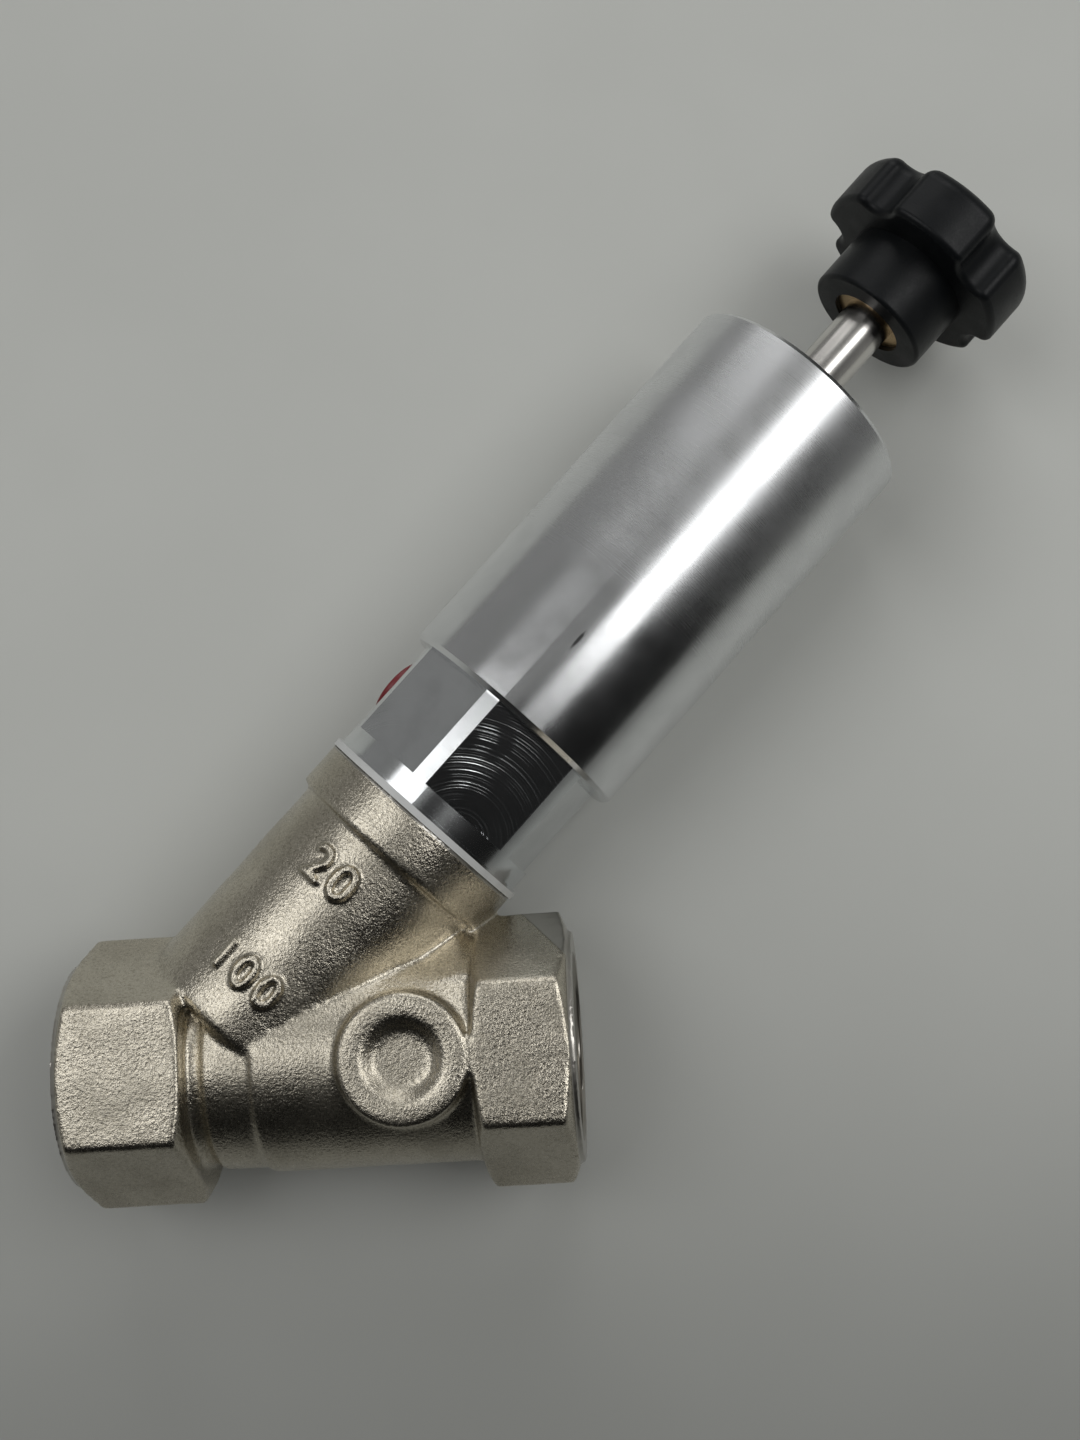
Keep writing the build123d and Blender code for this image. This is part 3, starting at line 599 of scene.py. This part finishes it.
@dataclass
class FinishRack:
    """Every finish of the valve, by the material slot that it belongs to."""

    stem: StemLine
    made: dict[str, bpy.types.Material] = field(default_factory=dict)

    def finishes(self) -> list[Finish]:
        """Lists the finishes of the valve's slots.

        Returns:
            One finish for each slot.
        """
        stem, pipe = Place(self.stem, Way.STEM), Place(self.stem, Way.PIPE)
        return [
            CastFinish("cast_stainless", (0.60, 0.555, 0.46), 0.25, pipe),
            MilledFinish(
                "milled_aluminium", (0.74, 0.76, 0.77), 0.10, stem,
                line_depth=0.0035 * MM, gloss_spread=0.03,
            ),
            TurnedFinish(
                "satin_aluminium", (0.76, 0.77, 0.78), 0.18, stem,
                lines=9.0, line_depth=0.0018 * MM, stain=0.025,
                mark=((18.8, 2.4, 82.0), 0.34), grading=(70.0, 118.0, 0.0, 0.12),
            ),
            TurnedFinish("cut_thread", (0.42, 0.40, 0.36), 0.36, stem, lines=4.0),
            TurnedFinish(
                "polished_stainless", (0.68, 0.66, 0.63), 0.22, stem, lines=5.0, line_depth=0.0012 * MM
            ),
            TurnedFinish("turned_stainless", (0.55, 0.54, 0.51), 0.24, stem, lines=5.0),
            TurnedFinish("spring_steel", (0.30, 0.29, 0.28), 0.30, stem, lines=3.0, stain=0.1),
            TurnedFinish("turned_brass", (0.52, 0.36, 0.18), 0.30, stem, lines=6.0, stain=0.06),
            MouldedFinish(
                "ptfe", (0.62, 0.63, 0.62), 0.42, stem,
                texture=2.0, texture_depth=0.01 * MM, rubbed=(0.50, 0.51, 0.50),
            ),
            MouldedFinish("red_plastic", (0.20, 0.012, 0.018), 0.40, stem, rubbed=(0.16, 0.012, 0.016)),
            MouldedFinish(
                "black_plastic", (0.005, 0.006, 0.007), 0.40, stem,
                rubbed=(0.008, 0.009, 0.010), specular=0.2,
            ),
            MouldedFinish(
                "black_rubber", (0.016, 0.016, 0.016), 0.62, stem, texture=5.0, rubbed=(0.03, 0.03, 0.03)
            ),
        ]

    def fill(self) -> None:
        """Makes the materials of all the slots."""
        for finish in self.finishes():
            self.made[finish.name] = finish.material()
            LOG.info("finish %s", finish.name)

    def dress(self, nodes: dict[str, bpy.types.Object]) -> None:
        """Gives every CAD node the finish of its slot.

        Args:
            nodes: The CAD nodes by name.
        """
        for name, node in sorted(nodes.items()):
            for holder in node.material_slots:
                slot = holder.material.name.split(".")[0]
                holder.material = self.made[slot]
            LOG.info("node %s", name)


class GeometryRig:
    """A Geometry Nodes tree, with named inputs. It ends in Realize Instances and Set Material."""

    def __init__(self, name: str) -> None:
        """Starts an empty tree with a geometry output.

        Args:
            name: The tree's name.
        """
        self.name = name
        self.tree = bpy.data.node_groups.new(name, "GeometryNodeTree")
        self.tree.interface.new_socket("Geometry", in_out="OUTPUT", socket_type="NodeSocketGeometry")
        self.pen = NodePen(self.tree)
        self.inputs = self.tree.nodes.new("NodeGroupInput")
        self.names: dict[str, str] = {}

    def size(self, name: str, kind: str = "NodeSocketFloat") -> Socket:
        """Adds a named input.

        Args:
            name: The input's name.
            kind: The input's socket type.

        Returns:
            What the input gives inside the tree.
        """
        item = self.tree.interface.new_socket(name, in_out="INPUT", socket_type=kind)
        self.names[name] = item.identifier
        return self.inputs.outputs[name]

    def merged(self, geometry: Socket, distance: float) -> Socket:
        """Merges the doubles of what the tree made so far."""
        feeds = {"Geometry": geometry, "Distance": distance}
        return self.pen.add("GeometryNodeMergeByDistance", feeds).outputs[0]

    def moved(self, geometry: Socket, position: Socket) -> Socket:
        """Moves each point of what the tree made so far."""
        feeds = {"Geometry": geometry, "Position": position}
        return self.pen.add("GeometryNodeSetPosition", feeds).outputs[0]

    def point(self) -> bpy.types.bpy_prop_collection:
        """Gives the parts of a point's place, by the names X, Y and Z."""
        return self.pen.split(self.pen.add("GeometryNodeInputPosition").outputs[0])

    def close(self, geometry: Socket, finish: bpy.types.Material) -> None:
        """Ends the tree.

        Args:
            geometry: What the tree made.
            finish: The material that it takes.
        """
        real = self.pen.add("GeometryNodeRealizeInstances", {"Geometry": geometry})
        dressed = self.pen.add("GeometryNodeSetMaterial", {"Geometry": real.outputs[0], "Material": finish})
        self.pen.add("NodeGroupOutput", {"Geometry": dressed.outputs[0]})

    def make(self, piece: str, sizes: dict[str, object]) -> bpy.types.Object:
        """Runs the tree once and keeps its result as a plain mesh.

        Args:
            piece: The new piece's name.
            sizes: The value of each named input.

        Returns:
            The piece, at the origin, with no modifier.
        """
        holder = link(bpy.data.objects.new(piece + "_rig", bpy.data.meshes.new(piece + "_rig")))
        modifier = holder.modifiers.new("rig", "NODES")
        modifier.node_group = self.tree
        for name, value in sizes.items():
            modifier[self.names[name]] = value
        made = link(bpy.data.objects.new(piece, settled_mesh(holder, piece)))
        bpy.data.objects.remove(holder)
        outward(made.data)
        return made


def link(made: bpy.types.Object) -> bpy.types.Object:
    """Puts an object into the scene and returns it."""
    bpy.context.scene.collection.objects.link(made)
    return made


def settled_mesh(holder: bpy.types.Object, name: str) -> bpy.types.Mesh:
    """Turns what an object's modifiers make into a plain mesh.

    Args:
        holder: The object with the modifiers.
        name: The mesh's name.

    Returns:
        The plain mesh.
    """
    graph = bpy.context.evaluated_depsgraph_get()
    graph.update()
    mesh = bpy.data.meshes.new_from_object(holder.evaluated_get(graph), depsgraph=graph)
    mesh.name = name
    return mesh


def outward(mesh: bpy.types.Mesh, merge: float = 1e-7) -> None:
    """Merges a mesh's doubles and turns its faces outwards.

    Args:
        mesh: The mesh, changed in place.
        merge: How near two vertices lie to count as one, in metres.
    """
    work = bmesh.new()
    work.from_mesh(mesh)
    bmesh.ops.remove_doubles(work, verts=work.verts, dist=merge)
    bmesh.ops.recalc_face_normals(work, faces=work.faces)
    work.to_mesh(mesh)
    work.free()


def rows_of(parts: bpy.types.bpy_prop_collection, key: str) -> np.ndarray:
    """Reads one vector of each part of a mesh.

    Args:
        parts: The mesh's vertices or normals.
        key: The name of the vector.

    Returns:
        An array with one row for each part.
    """
    flat = np.empty(len(parts) * 3)
    parts.foreach_get(key, flat)
    return flat.reshape(-1, 3)


def move_points(mesh: bpy.types.Mesh, spots: np.ndarray) -> None:
    """Moves a mesh's vertices to the rows of an array."""
    mesh.vertices.foreach_set("co", spots.ravel())
    mesh.update()


def smooth_faces(mesh: bpy.types.Mesh, crease: float) -> None:
    """Shades a mesh smooth, with a hard edge where faces meet at more than so many degrees."""
    mesh.shade_smooth()
    mesh.set_sharp_from_angle(angle=math.radians(crease))


def ramp(value: np.ndarray, low: float, high: float) -> np.ndarray:
    """Rises smoothly from 0 at low to 1 at high."""
    share = np.clip((value - low) / (high - low), 0.0, 1.0)
    return share * share * (3 - 2 * share)


@dataclass
class PipeThread:
    """The G 3/4 thread inside one mouth, as a closed liner that seats in the body's opened bore."""

    mouth: Mouth
    body_length: float
    crest: float = 12.06 * MM
    depth: float = 1.16 * MM
    pitch: float = 1.814 * MM
    length: float = 15.0 * MM
    outer: float = 13.55 * MM
    flanks: tuple[float, float] = (0.12, 0.88)
    lead_in: float = 0.1 * MM
    weld: float = 0.002 * MM
    crease: float = 32.0
    around: int = 96
    rows: int = 76

    def rig(self, finish: bpy.types.Material) -> GeometryRig:
        """Writes the tree that winds the thread.

        Args:
            finish: The material of the thread.

        Returns:
            The finished tree.
        """
        rig = GeometryRig("pipe_thread_" + self.mouth.value)
        pen = rig.pen
        crest, depth, pitch, length, outer, turn, shift = (
            rig.size(name)
            for name in ("Crest Radius", "Depth", "Pitch", "Length", "Outer Radius", "Turn", "Shift")
        )
        rows, around = (rig.size(name, "NodeSocketInt") for name in ("Rows", "Around"))
        sizes = {"Size X": 1.0, "Size Y": 1.0, "Vertices X": rows, "Vertices Y": around}
        grid = pen.add("GeometryNodeMeshGrid", sizes).outputs["Mesh"]
        place = rig.point()
        last = pen.minus(rows, 1.0)
        row = pen.math("ROUND", pen.times(pen.plus(place["X"], 0.5), last))
        angle = pen.times(pen.plus(place["Y"], 0.5), math.tau)
        # The first row and the last two close the liner. The rows between them carry the thread.
        share = pen.math("DIVIDE", pen.minus(row, 1.0), pen.minus(last, 3.0))
        share = pen.add("ShaderNodeClamp", {"Value": share}).outputs[0]
        back = pen.math("GREATER_THAN", row, pen.minus(last, 0.5))
        reach = pen.times(share, length, pen.minus(1.0, back))
        wind = pen.minus(pen.math("DIVIDE", reach, pitch), pen.math("DIVIDE", angle, math.tau))
        tooth = pen.times(pen.math("PINGPONG", wind, 0.5), 2.0)
        flank = {"Value": tooth, "From Min": self.flanks[0], "From Max": self.flanks[1]}
        tooth = pen.add("ShaderNodeMapRange", flank, interpolation_type="LINEAR").outputs[0]
        thread = pen.plus(crest, pen.times(tooth, depth))
        wall = pen.math("MAXIMUM", thread, pen.minus(pen.plus(crest, depth, self.lead_in), reach))
        after = pen.math("GREATER_THAN", row, pen.minus(last, 1.5))
        edge = pen.math("MINIMUM", pen.plus(pen.math("LESS_THAN", row, 0.5), after), 1.0)
        across, up = pen.turned(pen.between(edge, wall, outer), angle)
        bent = rig.moved(grid, pen.vector(X=reach, Y=across, Z=up))
        seated = {
            "Geometry": rig.merged(bent, self.weld),
            "Translation": pen.vector(X=shift),
            "Rotation": pen.vector(Z=turn),
        }
        rig.close(pen.add("GeometryNodeTransform", seated).outputs[0], finish)
        return rig

    def build(self, finish: bpy.types.Material) -> bpy.types.Object:
        """Makes the thread of this mouth.

        Args:
            finish: The material of the thread.

        Returns:
            The liner, in place.
        """
        outlet = self.mouth is Mouth.OUTLET
        sizes = {
            "Crest Radius": self.crest,
            "Depth": self.depth,
            "Pitch": self.pitch,
            "Length": self.length,
            "Outer Radius": self.outer,
            "Turn": math.pi if outlet else 0.0,
            "Shift": self.body_length if outlet else 0.0,
            "Rows": self.rows,
            "Around": self.around + 1,
        }
        made = self.rig(finish).make(self.mouth.value + "_thread_turns", sizes)
        smooth_faces(made.data, self.crease)
        return made


@dataclass(frozen=True)
class Numeral:
    """A plain raised number that follows the branch."""

    text: str
    height: float
    angle: float
    station: float


@dataclass
class CastBody:
    """The investment-cast Y body: soft edges, raised numerals and opened bores for its threads.

    The web and the waves are in millimetres, the turns in degrees and all other sizes in metres.
    """

    stem: StemLine
    node: bpy.types.Object
    voxel: float = 0.34 * MM
    most_triangles: int = 185000
    bore: float = 12.06 * MM
    opened: float = 13.45 * MM
    thread_length: float = 15.0 * MM
    branch_radius: float = 16.0 * MM
    raised: float = 1.3 * MM
    stroke_gain: float = 0.11 * MM
    corner_gain: float = 1.4
    letter_space: float = 1.2
    weld: float = 0.001 * MM
    web: tuple[Triple, ...] = ((48.0, 10.0, 11.0), (59.5, 11.0, 12.0), (59.5, 18.3, 1.5), (56.0, 17.3, 4.5))
    wall_slack: float = 0.05 * MM
    mouth_edge: tuple[float, float] = (0.7 * MM, 1.5 * MM)
    neck_edge: tuple[float, float] = (46.6 * MM, 47.6 * MM)
    bore_edge: tuple[float, float] = (13.4 * MM, 13.9 * MM)
    chamber_radius: float = 14.4 * MM
    branch_from: float = 14.0 * MM
    numeral_radius: float = 15.2 * MM
    numeral_reach: float = 3.4 * MM
    numeral_turn: float = 32.0
    numeral_share: float = 0.12
    rounds: int = 8
    round_share: float = 0.6
    waves: int = 28
    wave_lengths: tuple[float, float] = (4.0, 11.0)
    wave_height: float = 0.005
    crease: float = 42.0
    numerals: tuple[Numeral, ...] = (
        Numeral("20", 7.6 * MM, -8.0, 34.4 * MM),
        Numeral("100", 6.9 * MM, -7.0, 16.4 * MM),
    )

    def length(self) -> float:
        """Gives the body's length over its mouths, in metres."""
        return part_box("valve_body")[1].x

    def numeral_rig(self, finish: bpy.types.Material) -> GeometryRig:
        """Writes the tree that raises a number and bends it round the branch.

        Args:
            finish: The material of the number.

        Returns:
            The finished tree.
        """
        rig = GeometryRig("raised_numeral")
        pen = rig.pen
        text = rig.size("Text", "NodeSocketString")
        height, radius, angle, station, raised = (
            rig.size(name) for name in ("Height", "Radius", "Angle", "Station", "Raised")
        )
        letters = {"String": text, "Size": height, "Character Spacing": self.letter_space}
        curves = pen.add("GeometryNodeStringToCurves", letters)
        curves.align_x, curves.align_y = "CENTER", "MIDDLE"
        real = pen.add("GeometryNodeRealizeInstances", {"Geometry": curves.outputs["Curve Instances"]})
        face = pen.add("GeometryNodeFillCurve", {"Curve": real.outputs[0]}).outputs[0]
        lift = {"Mesh": face, "Offset Scale": raised, "Individual": False}
        block = pen.add("GeometryNodeExtrudeMesh", lift)
        under = pen.add("GeometryNodeFlipFaces", {"Mesh": face})
        both = pen.add("GeometryNodeJoinGeometry")
        pen.feed(both.inputs[0], block.outputs["Mesh"])
        pen.feed(both.inputs[0], under.outputs[0])
        whole = rig.merged(both.outputs[0], self.weld)
        spot = rig.point()
        lean = pen.plus(angle, pen.math("DIVIDE", spot["X"], radius))
        up, across = pen.turned(pen.minus(pen.plus(radius, spot["Z"]), pen.times(raised, 0.5)), lean)
        bent = rig.moved(whole, pen.vector(X=up, Y=across, Z=pen.plus(station, spot["Y"])))
        rig.close(bent, finish)
        return rig

    def raise_numerals(self, finish: bpy.types.Material) -> list[bpy.types.Object]:
        """Makes the numbers, in place on the branch.

        Args:
            finish: The material of the numbers.

        Returns:
            One closed piece for each number.
        """
        rig = self.numeral_rig(finish)
        turn = self.stem.basis().transposed().to_4x4()
        turn.translation = Vector(self.stem.crossing)
        made = []
        for index, numeral in enumerate(self.numerals):
            sizes = {
                "Text": numeral.text,
                "Height": numeral.height,
                "Radius": self.branch_radius,
                "Angle": math.radians(numeral.angle),
                "Station": numeral.station,
                "Raised": self.raised,
            }
            block = rig.make(f"numeral_{index}", sizes)
            self.embolden(block.data)
            block.data.transform(turn)
            made.append(block)
        return made

    def embolden(self, mesh: bpy.types.Mesh) -> None:
        """Moves a number's faces outwards, which thickens its strokes."""
        thicker = rows_of(mesh.vertex_normals, "vector") * self.stroke_gain * self.corner_gain
        move_points(mesh, rows_of(mesh.vertices, "co") + thicker)

    def opened_copy(self) -> bpy.types.Mesh:
        """Copies the CAD body and moves the walls of its threaded bores out, to make room for the threads.

        Returns:
            The copy, merged into one closed skin.
        """
        mesh = self.node.data.copy()
        outward(mesh, self.weld)
        spots = rows_of(mesh.vertices, "co")
        radius = np.hypot(spots[:, 1], spots[:, 2])
        on_bore = np.abs(radius - self.bore) < self.wall_slack
        wall = on_bore & (self.from_mouth(spots) < self.thread_length + self.wall_slack)
        spots[wall, 1:] *= (self.opened / radius[wall])[:, None]
        move_points(mesh, spots)
        return mesh

    def from_mouth(self, spots: np.ndarray) -> np.ndarray:
        """Says how far each place is from the nearer mouth."""
        return np.minimum(spots[:, 0], self.length() - spots[:, 0])

    def softness(self, spots: np.ndarray) -> np.ndarray:
        """Says how far the cast skin's edges are rounded, place by place.

        Args:
            spots: The vertices, in metres.

        Returns:
            0 where the body is turned or bored, up to 1 on the open skin.
        """
        across, side, along = ((spots - np.array(self.stem.crossing)) @ np.array(self.stem.basis()).T).T
        stem_radius = np.hypot(across, side)
        share = ramp(self.from_mouth(spots), *self.mouth_edge)
        share *= ramp(-along, -self.neck_edge[1], -self.neck_edge[0])
        share *= ramp(np.hypot(spots[:, 1], spots[:, 2]), *self.bore_edge) + (along > self.branch_from)
        inside = (along > self.branch_from) & (stem_radius < self.chamber_radius)
        share = np.clip(share, 0.0, 1.0) * ~inside
        angle = np.degrees(np.arctan2(side, across))
        for numeral in self.numerals:
            near = np.abs(along - numeral.station) < self.numeral_reach
            near &= np.abs(angle - numeral.angle) < self.numeral_turn
            share[near & (stem_radius > self.numeral_radius)] *= self.numeral_share
        return share

    def soften(self, mesh: bpy.types.Mesh) -> None:
        """Rounds the cast skin's edges and creases and gives it the faint waves of a casting.

        Args:
            mesh: The body's skin, changed in place.
        """
        spots = rows_of(mesh.vertices, "co")
        ends = np.empty(len(mesh.edges) * 2, dtype=np.int64)
        mesh.edges.foreach_get("vertices", ends)
        first, second = ends.reshape(-1, 2).T
        count = np.bincount(ends, minlength=len(spots)).astype(float)[:, None]
        share = self.softness(spots)[:, None]
        for _ in range(self.rounds):
            total = np.empty_like(spots)
            for axis in range(3):
                total[:, axis] = np.bincount(first, spots[second, axis], len(spots))
                total[:, axis] += np.bincount(second, spots[first, axis], len(spots))
            spots += (total / count - spots) * self.round_share * share
        draw = np.random.default_rng(SEED)
        move_points(mesh, spots)
        normals = rows_of(mesh.vertex_normals, "vector")
        rise = np.zeros(len(spots))
        for _ in range(self.waves):
            heading = draw.normal(size=3)
            heading /= np.linalg.norm(heading)
            wave = draw.uniform(*self.wave_lengths) * MM
            phase = spots @ heading * (math.tau / wave) + draw.uniform(0, math.tau)
            rise += np.sin(phase) * self.wave_height * MM
        move_points(mesh, spots + normals * (rise * self.softness(spots))[:, None])

    def build(self, finish: bpy.types.Material) -> bpy.types.Object:
        """Makes the cast body.

        Args:
            finish: The cast material.

        Returns:
            The body, in place.
        """
        body = link(bpy.data.objects.new("cast_body_work", self.opened_copy()))
        blocks = self.raise_numerals(finish)
        work = bmesh.new()
        for piece in (body, *blocks):
            work.from_mesh(piece.data)
        web = [(x * MM, y * MM, side * z * MM) for x, y, z in self.web for side in (-1, 1)]
        bmesh.ops.convex_hull(work, input=[work.verts.new(corner) for corner in web])
        work.to_mesh(body.data)
        work.free()
        for block in blocks:
            bpy.data.objects.remove(block)
        remesh = body.modifiers.new("skin", "REMESH")
        remesh.mode, remesh.voxel_size, remesh.adaptivity = "VOXEL", self.voxel, 0.0
        skin = settled_mesh(body, "cast_body_skin")
        body.modifiers.clear()
        body.data = skin
        self.soften(skin)
        thin = body.modifiers.new("thin", "DECIMATE")
        thin.ratio = min(1.0, self.most_triangles / (2 * len(skin.polygons)))
        made = link(bpy.data.objects.new("cast_body", settled_mesh(body, "cast_body")))
        bpy.data.objects.remove(body)
        made.data.materials.clear()
        made.data.materials.append(finish)
        smooth_faces(made.data, self.crease)
        return made


@dataclass(frozen=True)
class Softbox:
    """A soft lamp over the sleeve. Its leans are in degrees, and a white floor in its full light is 1."""

    name: str
    lean_along: float
    lean_across: float
    distance: float
    size: tuple[float, float]
    radiance: float


@dataclass(frozen=True)
class Flag:
    """A dark studio flag, which keeps light off one side. Its corners are in metres, in order."""

    name: str
    corners: tuple[Triple, ...]


@dataclass
class Studio:
    """The pale floor, the soft lamps, the dark flags, the room's own light and the camera."""

    stem: StemLine
    softboxes: tuple[Softbox, ...] = (
        Softbox("strip_softbox", 31.0, 24.0, 1.0, (0.42, 0.78), 2.9),
        Softbox("side_softbox", -15.0, -26.5, 1.0, (0.62, 0.50), 1.85),
        Softbox("back_softbox", 50.0, -46.0, 1.1, (0.80, 0.60), 1.6),
    )
    flags: tuple[Flag, ...] = (
        Flag(
            "front_flag",
            ((-0.50, -0.24, -0.01), (0.80, -0.30, -0.01), (0.80, -0.17, 0.47), (-0.50, -0.13, 0.55)),
        ),
        Flag(
            "top_flag",
            ((0.03, -0.12, 0.262), (0.11, -0.12, 0.262), (0.11, 0.05, 0.262), (0.03, 0.05, 0.262)),
        ),
    )
    room: float = 0.21
    aim: Triple = (88 * MM, 70 * MM, 0.0)
    floor_drop: float = 17.0 * MM
    floor_pivot: float = -9.8 * MM
    floor_slope: float = -0.03407
    floor_reach: float = 6.0
    lens: float = 41.822
    sensor: float = 36.0
    camera_place: Triple = (81.776 * MM, 8.326 * MM, 248.682 * MM)
    camera_right: Triple = (0.99657, -0.0603, -0.0566)
    camera_down: Triple = (-0.06845, -0.98548, -0.15537)

    def floor(self, finish: bpy.types.Material) -> bpy.types.Object:
        """Makes the floor, which leans a little so that the valve's hexagons and its sleeve both rest on it.

        Args:
            finish: The floor's material.

        Returns:
            The floor.
        """
        reach = self.floor_reach
        corners = [
            (x, y, -self.floor_drop + self.floor_slope * (y - self.floor_pivot))
            for x, y in ((-reach, -reach), (reach, -reach), (reach, reach), (-reach, reach))
        ]
        return self.sheet("floor", corners, finish)

    def sheet(self, name: str, corners: Sequence[Triple], finish: bpy.types.Material) -> bpy.types.Object:
        """Makes one flat face.

        Args:
            name: The sheet's name.
            corners: Its corners in order, in metres.
            finish: Its finish.

        Returns:
            The sheet.
        """
        mesh = bpy.data.meshes.new(name)
        mesh.from_pydata(corners, [], [tuple(range(len(corners)))])
        mesh.materials.append(finish)
        return link(bpy.data.objects.new(name, mesh))

    def lamp(self, softbox: Softbox) -> None:
        """Adds a soft lamp that faces the valve, with its height along the stem.

        Args:
            softbox: Where the lamp stands, its size and its brightness.
        """
        data = bpy.data.lights.new(softbox.name, "AREA")
        data.shape, (data.size, data.size_y) = "RECTANGLE", softbox.size
        data.energy = softbox.radiance * math.pi * softbox.size[0] * softbox.size[1]
        lamp = link(bpy.data.objects.new(softbox.name, data))
        up, side, line = self.stem.basis()
        along, across = (math.tan(math.radians(a)) for a in (softbox.lean_along, softbox.lean_across))
        back = (up + line * along + side * across).normalized()
        line = (line - back * line.dot(back)).normalized()
        place = Vector(self.aim) + back * softbox.distance
        turn = Matrix((line.cross(back), line, back)).transposed().to_4x4()
        lamp.matrix_world = Matrix.Translation(place) @ turn

    def hang(self, flag: Flag, finish: bpy.types.Material) -> None:
        """Hangs a flag, which isn't seen itself and throws no shadow.

        Args:
            flag: The flag.
            finish: Its cloth.
        """
        hung = self.sheet(flag.name, flag.corners, finish)
        hung.visible_camera = hung.visible_shadow = hung.visible_diffuse = False

    def sky(self) -> None:
        """Lights the room evenly, a little darker towards the ceiling."""
        world = bpy.data.worlds.new("room")
        world.use_nodes = True
        world.node_tree.nodes.clear()
        pen = NodePen(world.node_tree)
        heading = pen.split(pen.add("ShaderNodeTexCoord").outputs["Generated"])
        share = pen.scaled(heading["Z"], 0.1, 0.9)
        low = tuple(self.room * tint for tint in (1.0, 1.0, 0.985))
        high = tuple(self.room * tint for tint in (0.8, 0.8, 0.78))
        back = pen.add("ShaderNodeBackground", {"Color": pen.blend(share, low, high), "Strength": 1.0})
        pen.add("ShaderNodeOutputWorld", {"Surface": back.outputs[0]})
        bpy.context.scene.world = world

    def camera(self) -> None:
        """Sets the camera at the viewing angle."""
        data = bpy.data.cameras.new("camera")
        data.lens, data.sensor_width, data.sensor_fit = self.lens, self.sensor, "AUTO"
        data.clip_start, data.clip_end = 0.01, 50.0
        camera = link(bpy.data.objects.new("camera", data))
        right, down = Vector(self.camera_right).normalized(), Vector(self.camera_down)
        forward = right.cross(down).normalized()
        down = forward.cross(right)
        turn = Matrix((right, -down, -forward)).transposed().to_4x4()
        camera.matrix_world = Matrix.Translation(self.camera_place) @ turn
        bpy.context.scene.camera = camera

    def build(self, floor_finish: bpy.types.Material, flag_cloth: bpy.types.Material) -> None:
        """Sets up the floor, the lamps, the flags, the room and the camera.

        Args:
            floor_finish: The table top.
            flag_cloth: The cloth of the flags.
        """
        self.floor(floor_finish)
        for softbox in self.softboxes:
            self.lamp(softbox)
        for flag in self.flags:
            self.hang(flag, flag_cloth)
        self.sky()
        self.camera()
        bpy.context.scene.view_settings.view_transform = "Standard"
        LOG.info("studio ready")


def clear_scene() -> None:
    """Takes away whatever a new file starts with."""
    for thing in list(bpy.data.objects):
        bpy.data.objects.remove(thing)


def seat(piece: bpy.types.Object, body: str, slot: str, *nodes: str) -> None:
    """Lets a finished piece ride on its body and hides the CAD nodes that it replaces.

    Args:
        piece: The finished piece.
        body: The CAD body that it moves with.
        slot: Not used.
        nodes: The CAD nodes that it replaces.
    """
    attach(piece, body)
    if nodes:
        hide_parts(*nodes)
    LOG.info("piece %s on %s", piece.name, body)


def main() -> None:
    """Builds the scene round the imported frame, piece by piece."""
    logging.basicConfig(level=logging.INFO, format="%(name)s: %(message)s", force=True)
    clear_scene()
    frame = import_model()
    stem = StemLine.of_frame(frame["joints"])
    rack = FinishRack(stem)
    rack.fill()
    rack.dress(frame["nodes"])
    cast = rack.made["cast_stainless"]
    body = CastBody(stem, frame["nodes"]["valve_body"])
    seat(body.build(cast), "valve_housing", "cast_stainless", "valve_body")
    for mouth in Mouth:
        thread = PipeThread(mouth, body.length()).build(rack.made["cut_thread"])
        seat(thread, "valve_housing", "cast_stainless")
    pipe = Place(stem, Way.PIPE)
    floor = FloorFinish("floor_top", (0.585, 0.595, 0.565), 0.5, pipe)
    flag = MouldedFinish("flag_cloth", (0.012, 0.012, 0.012), 0.9, pipe, rubbed=(0.016,) * 3, specular=0.1)
    Studio(stem).build(floor.material(), flag.material())


if __name__ == "__main__":
    main()
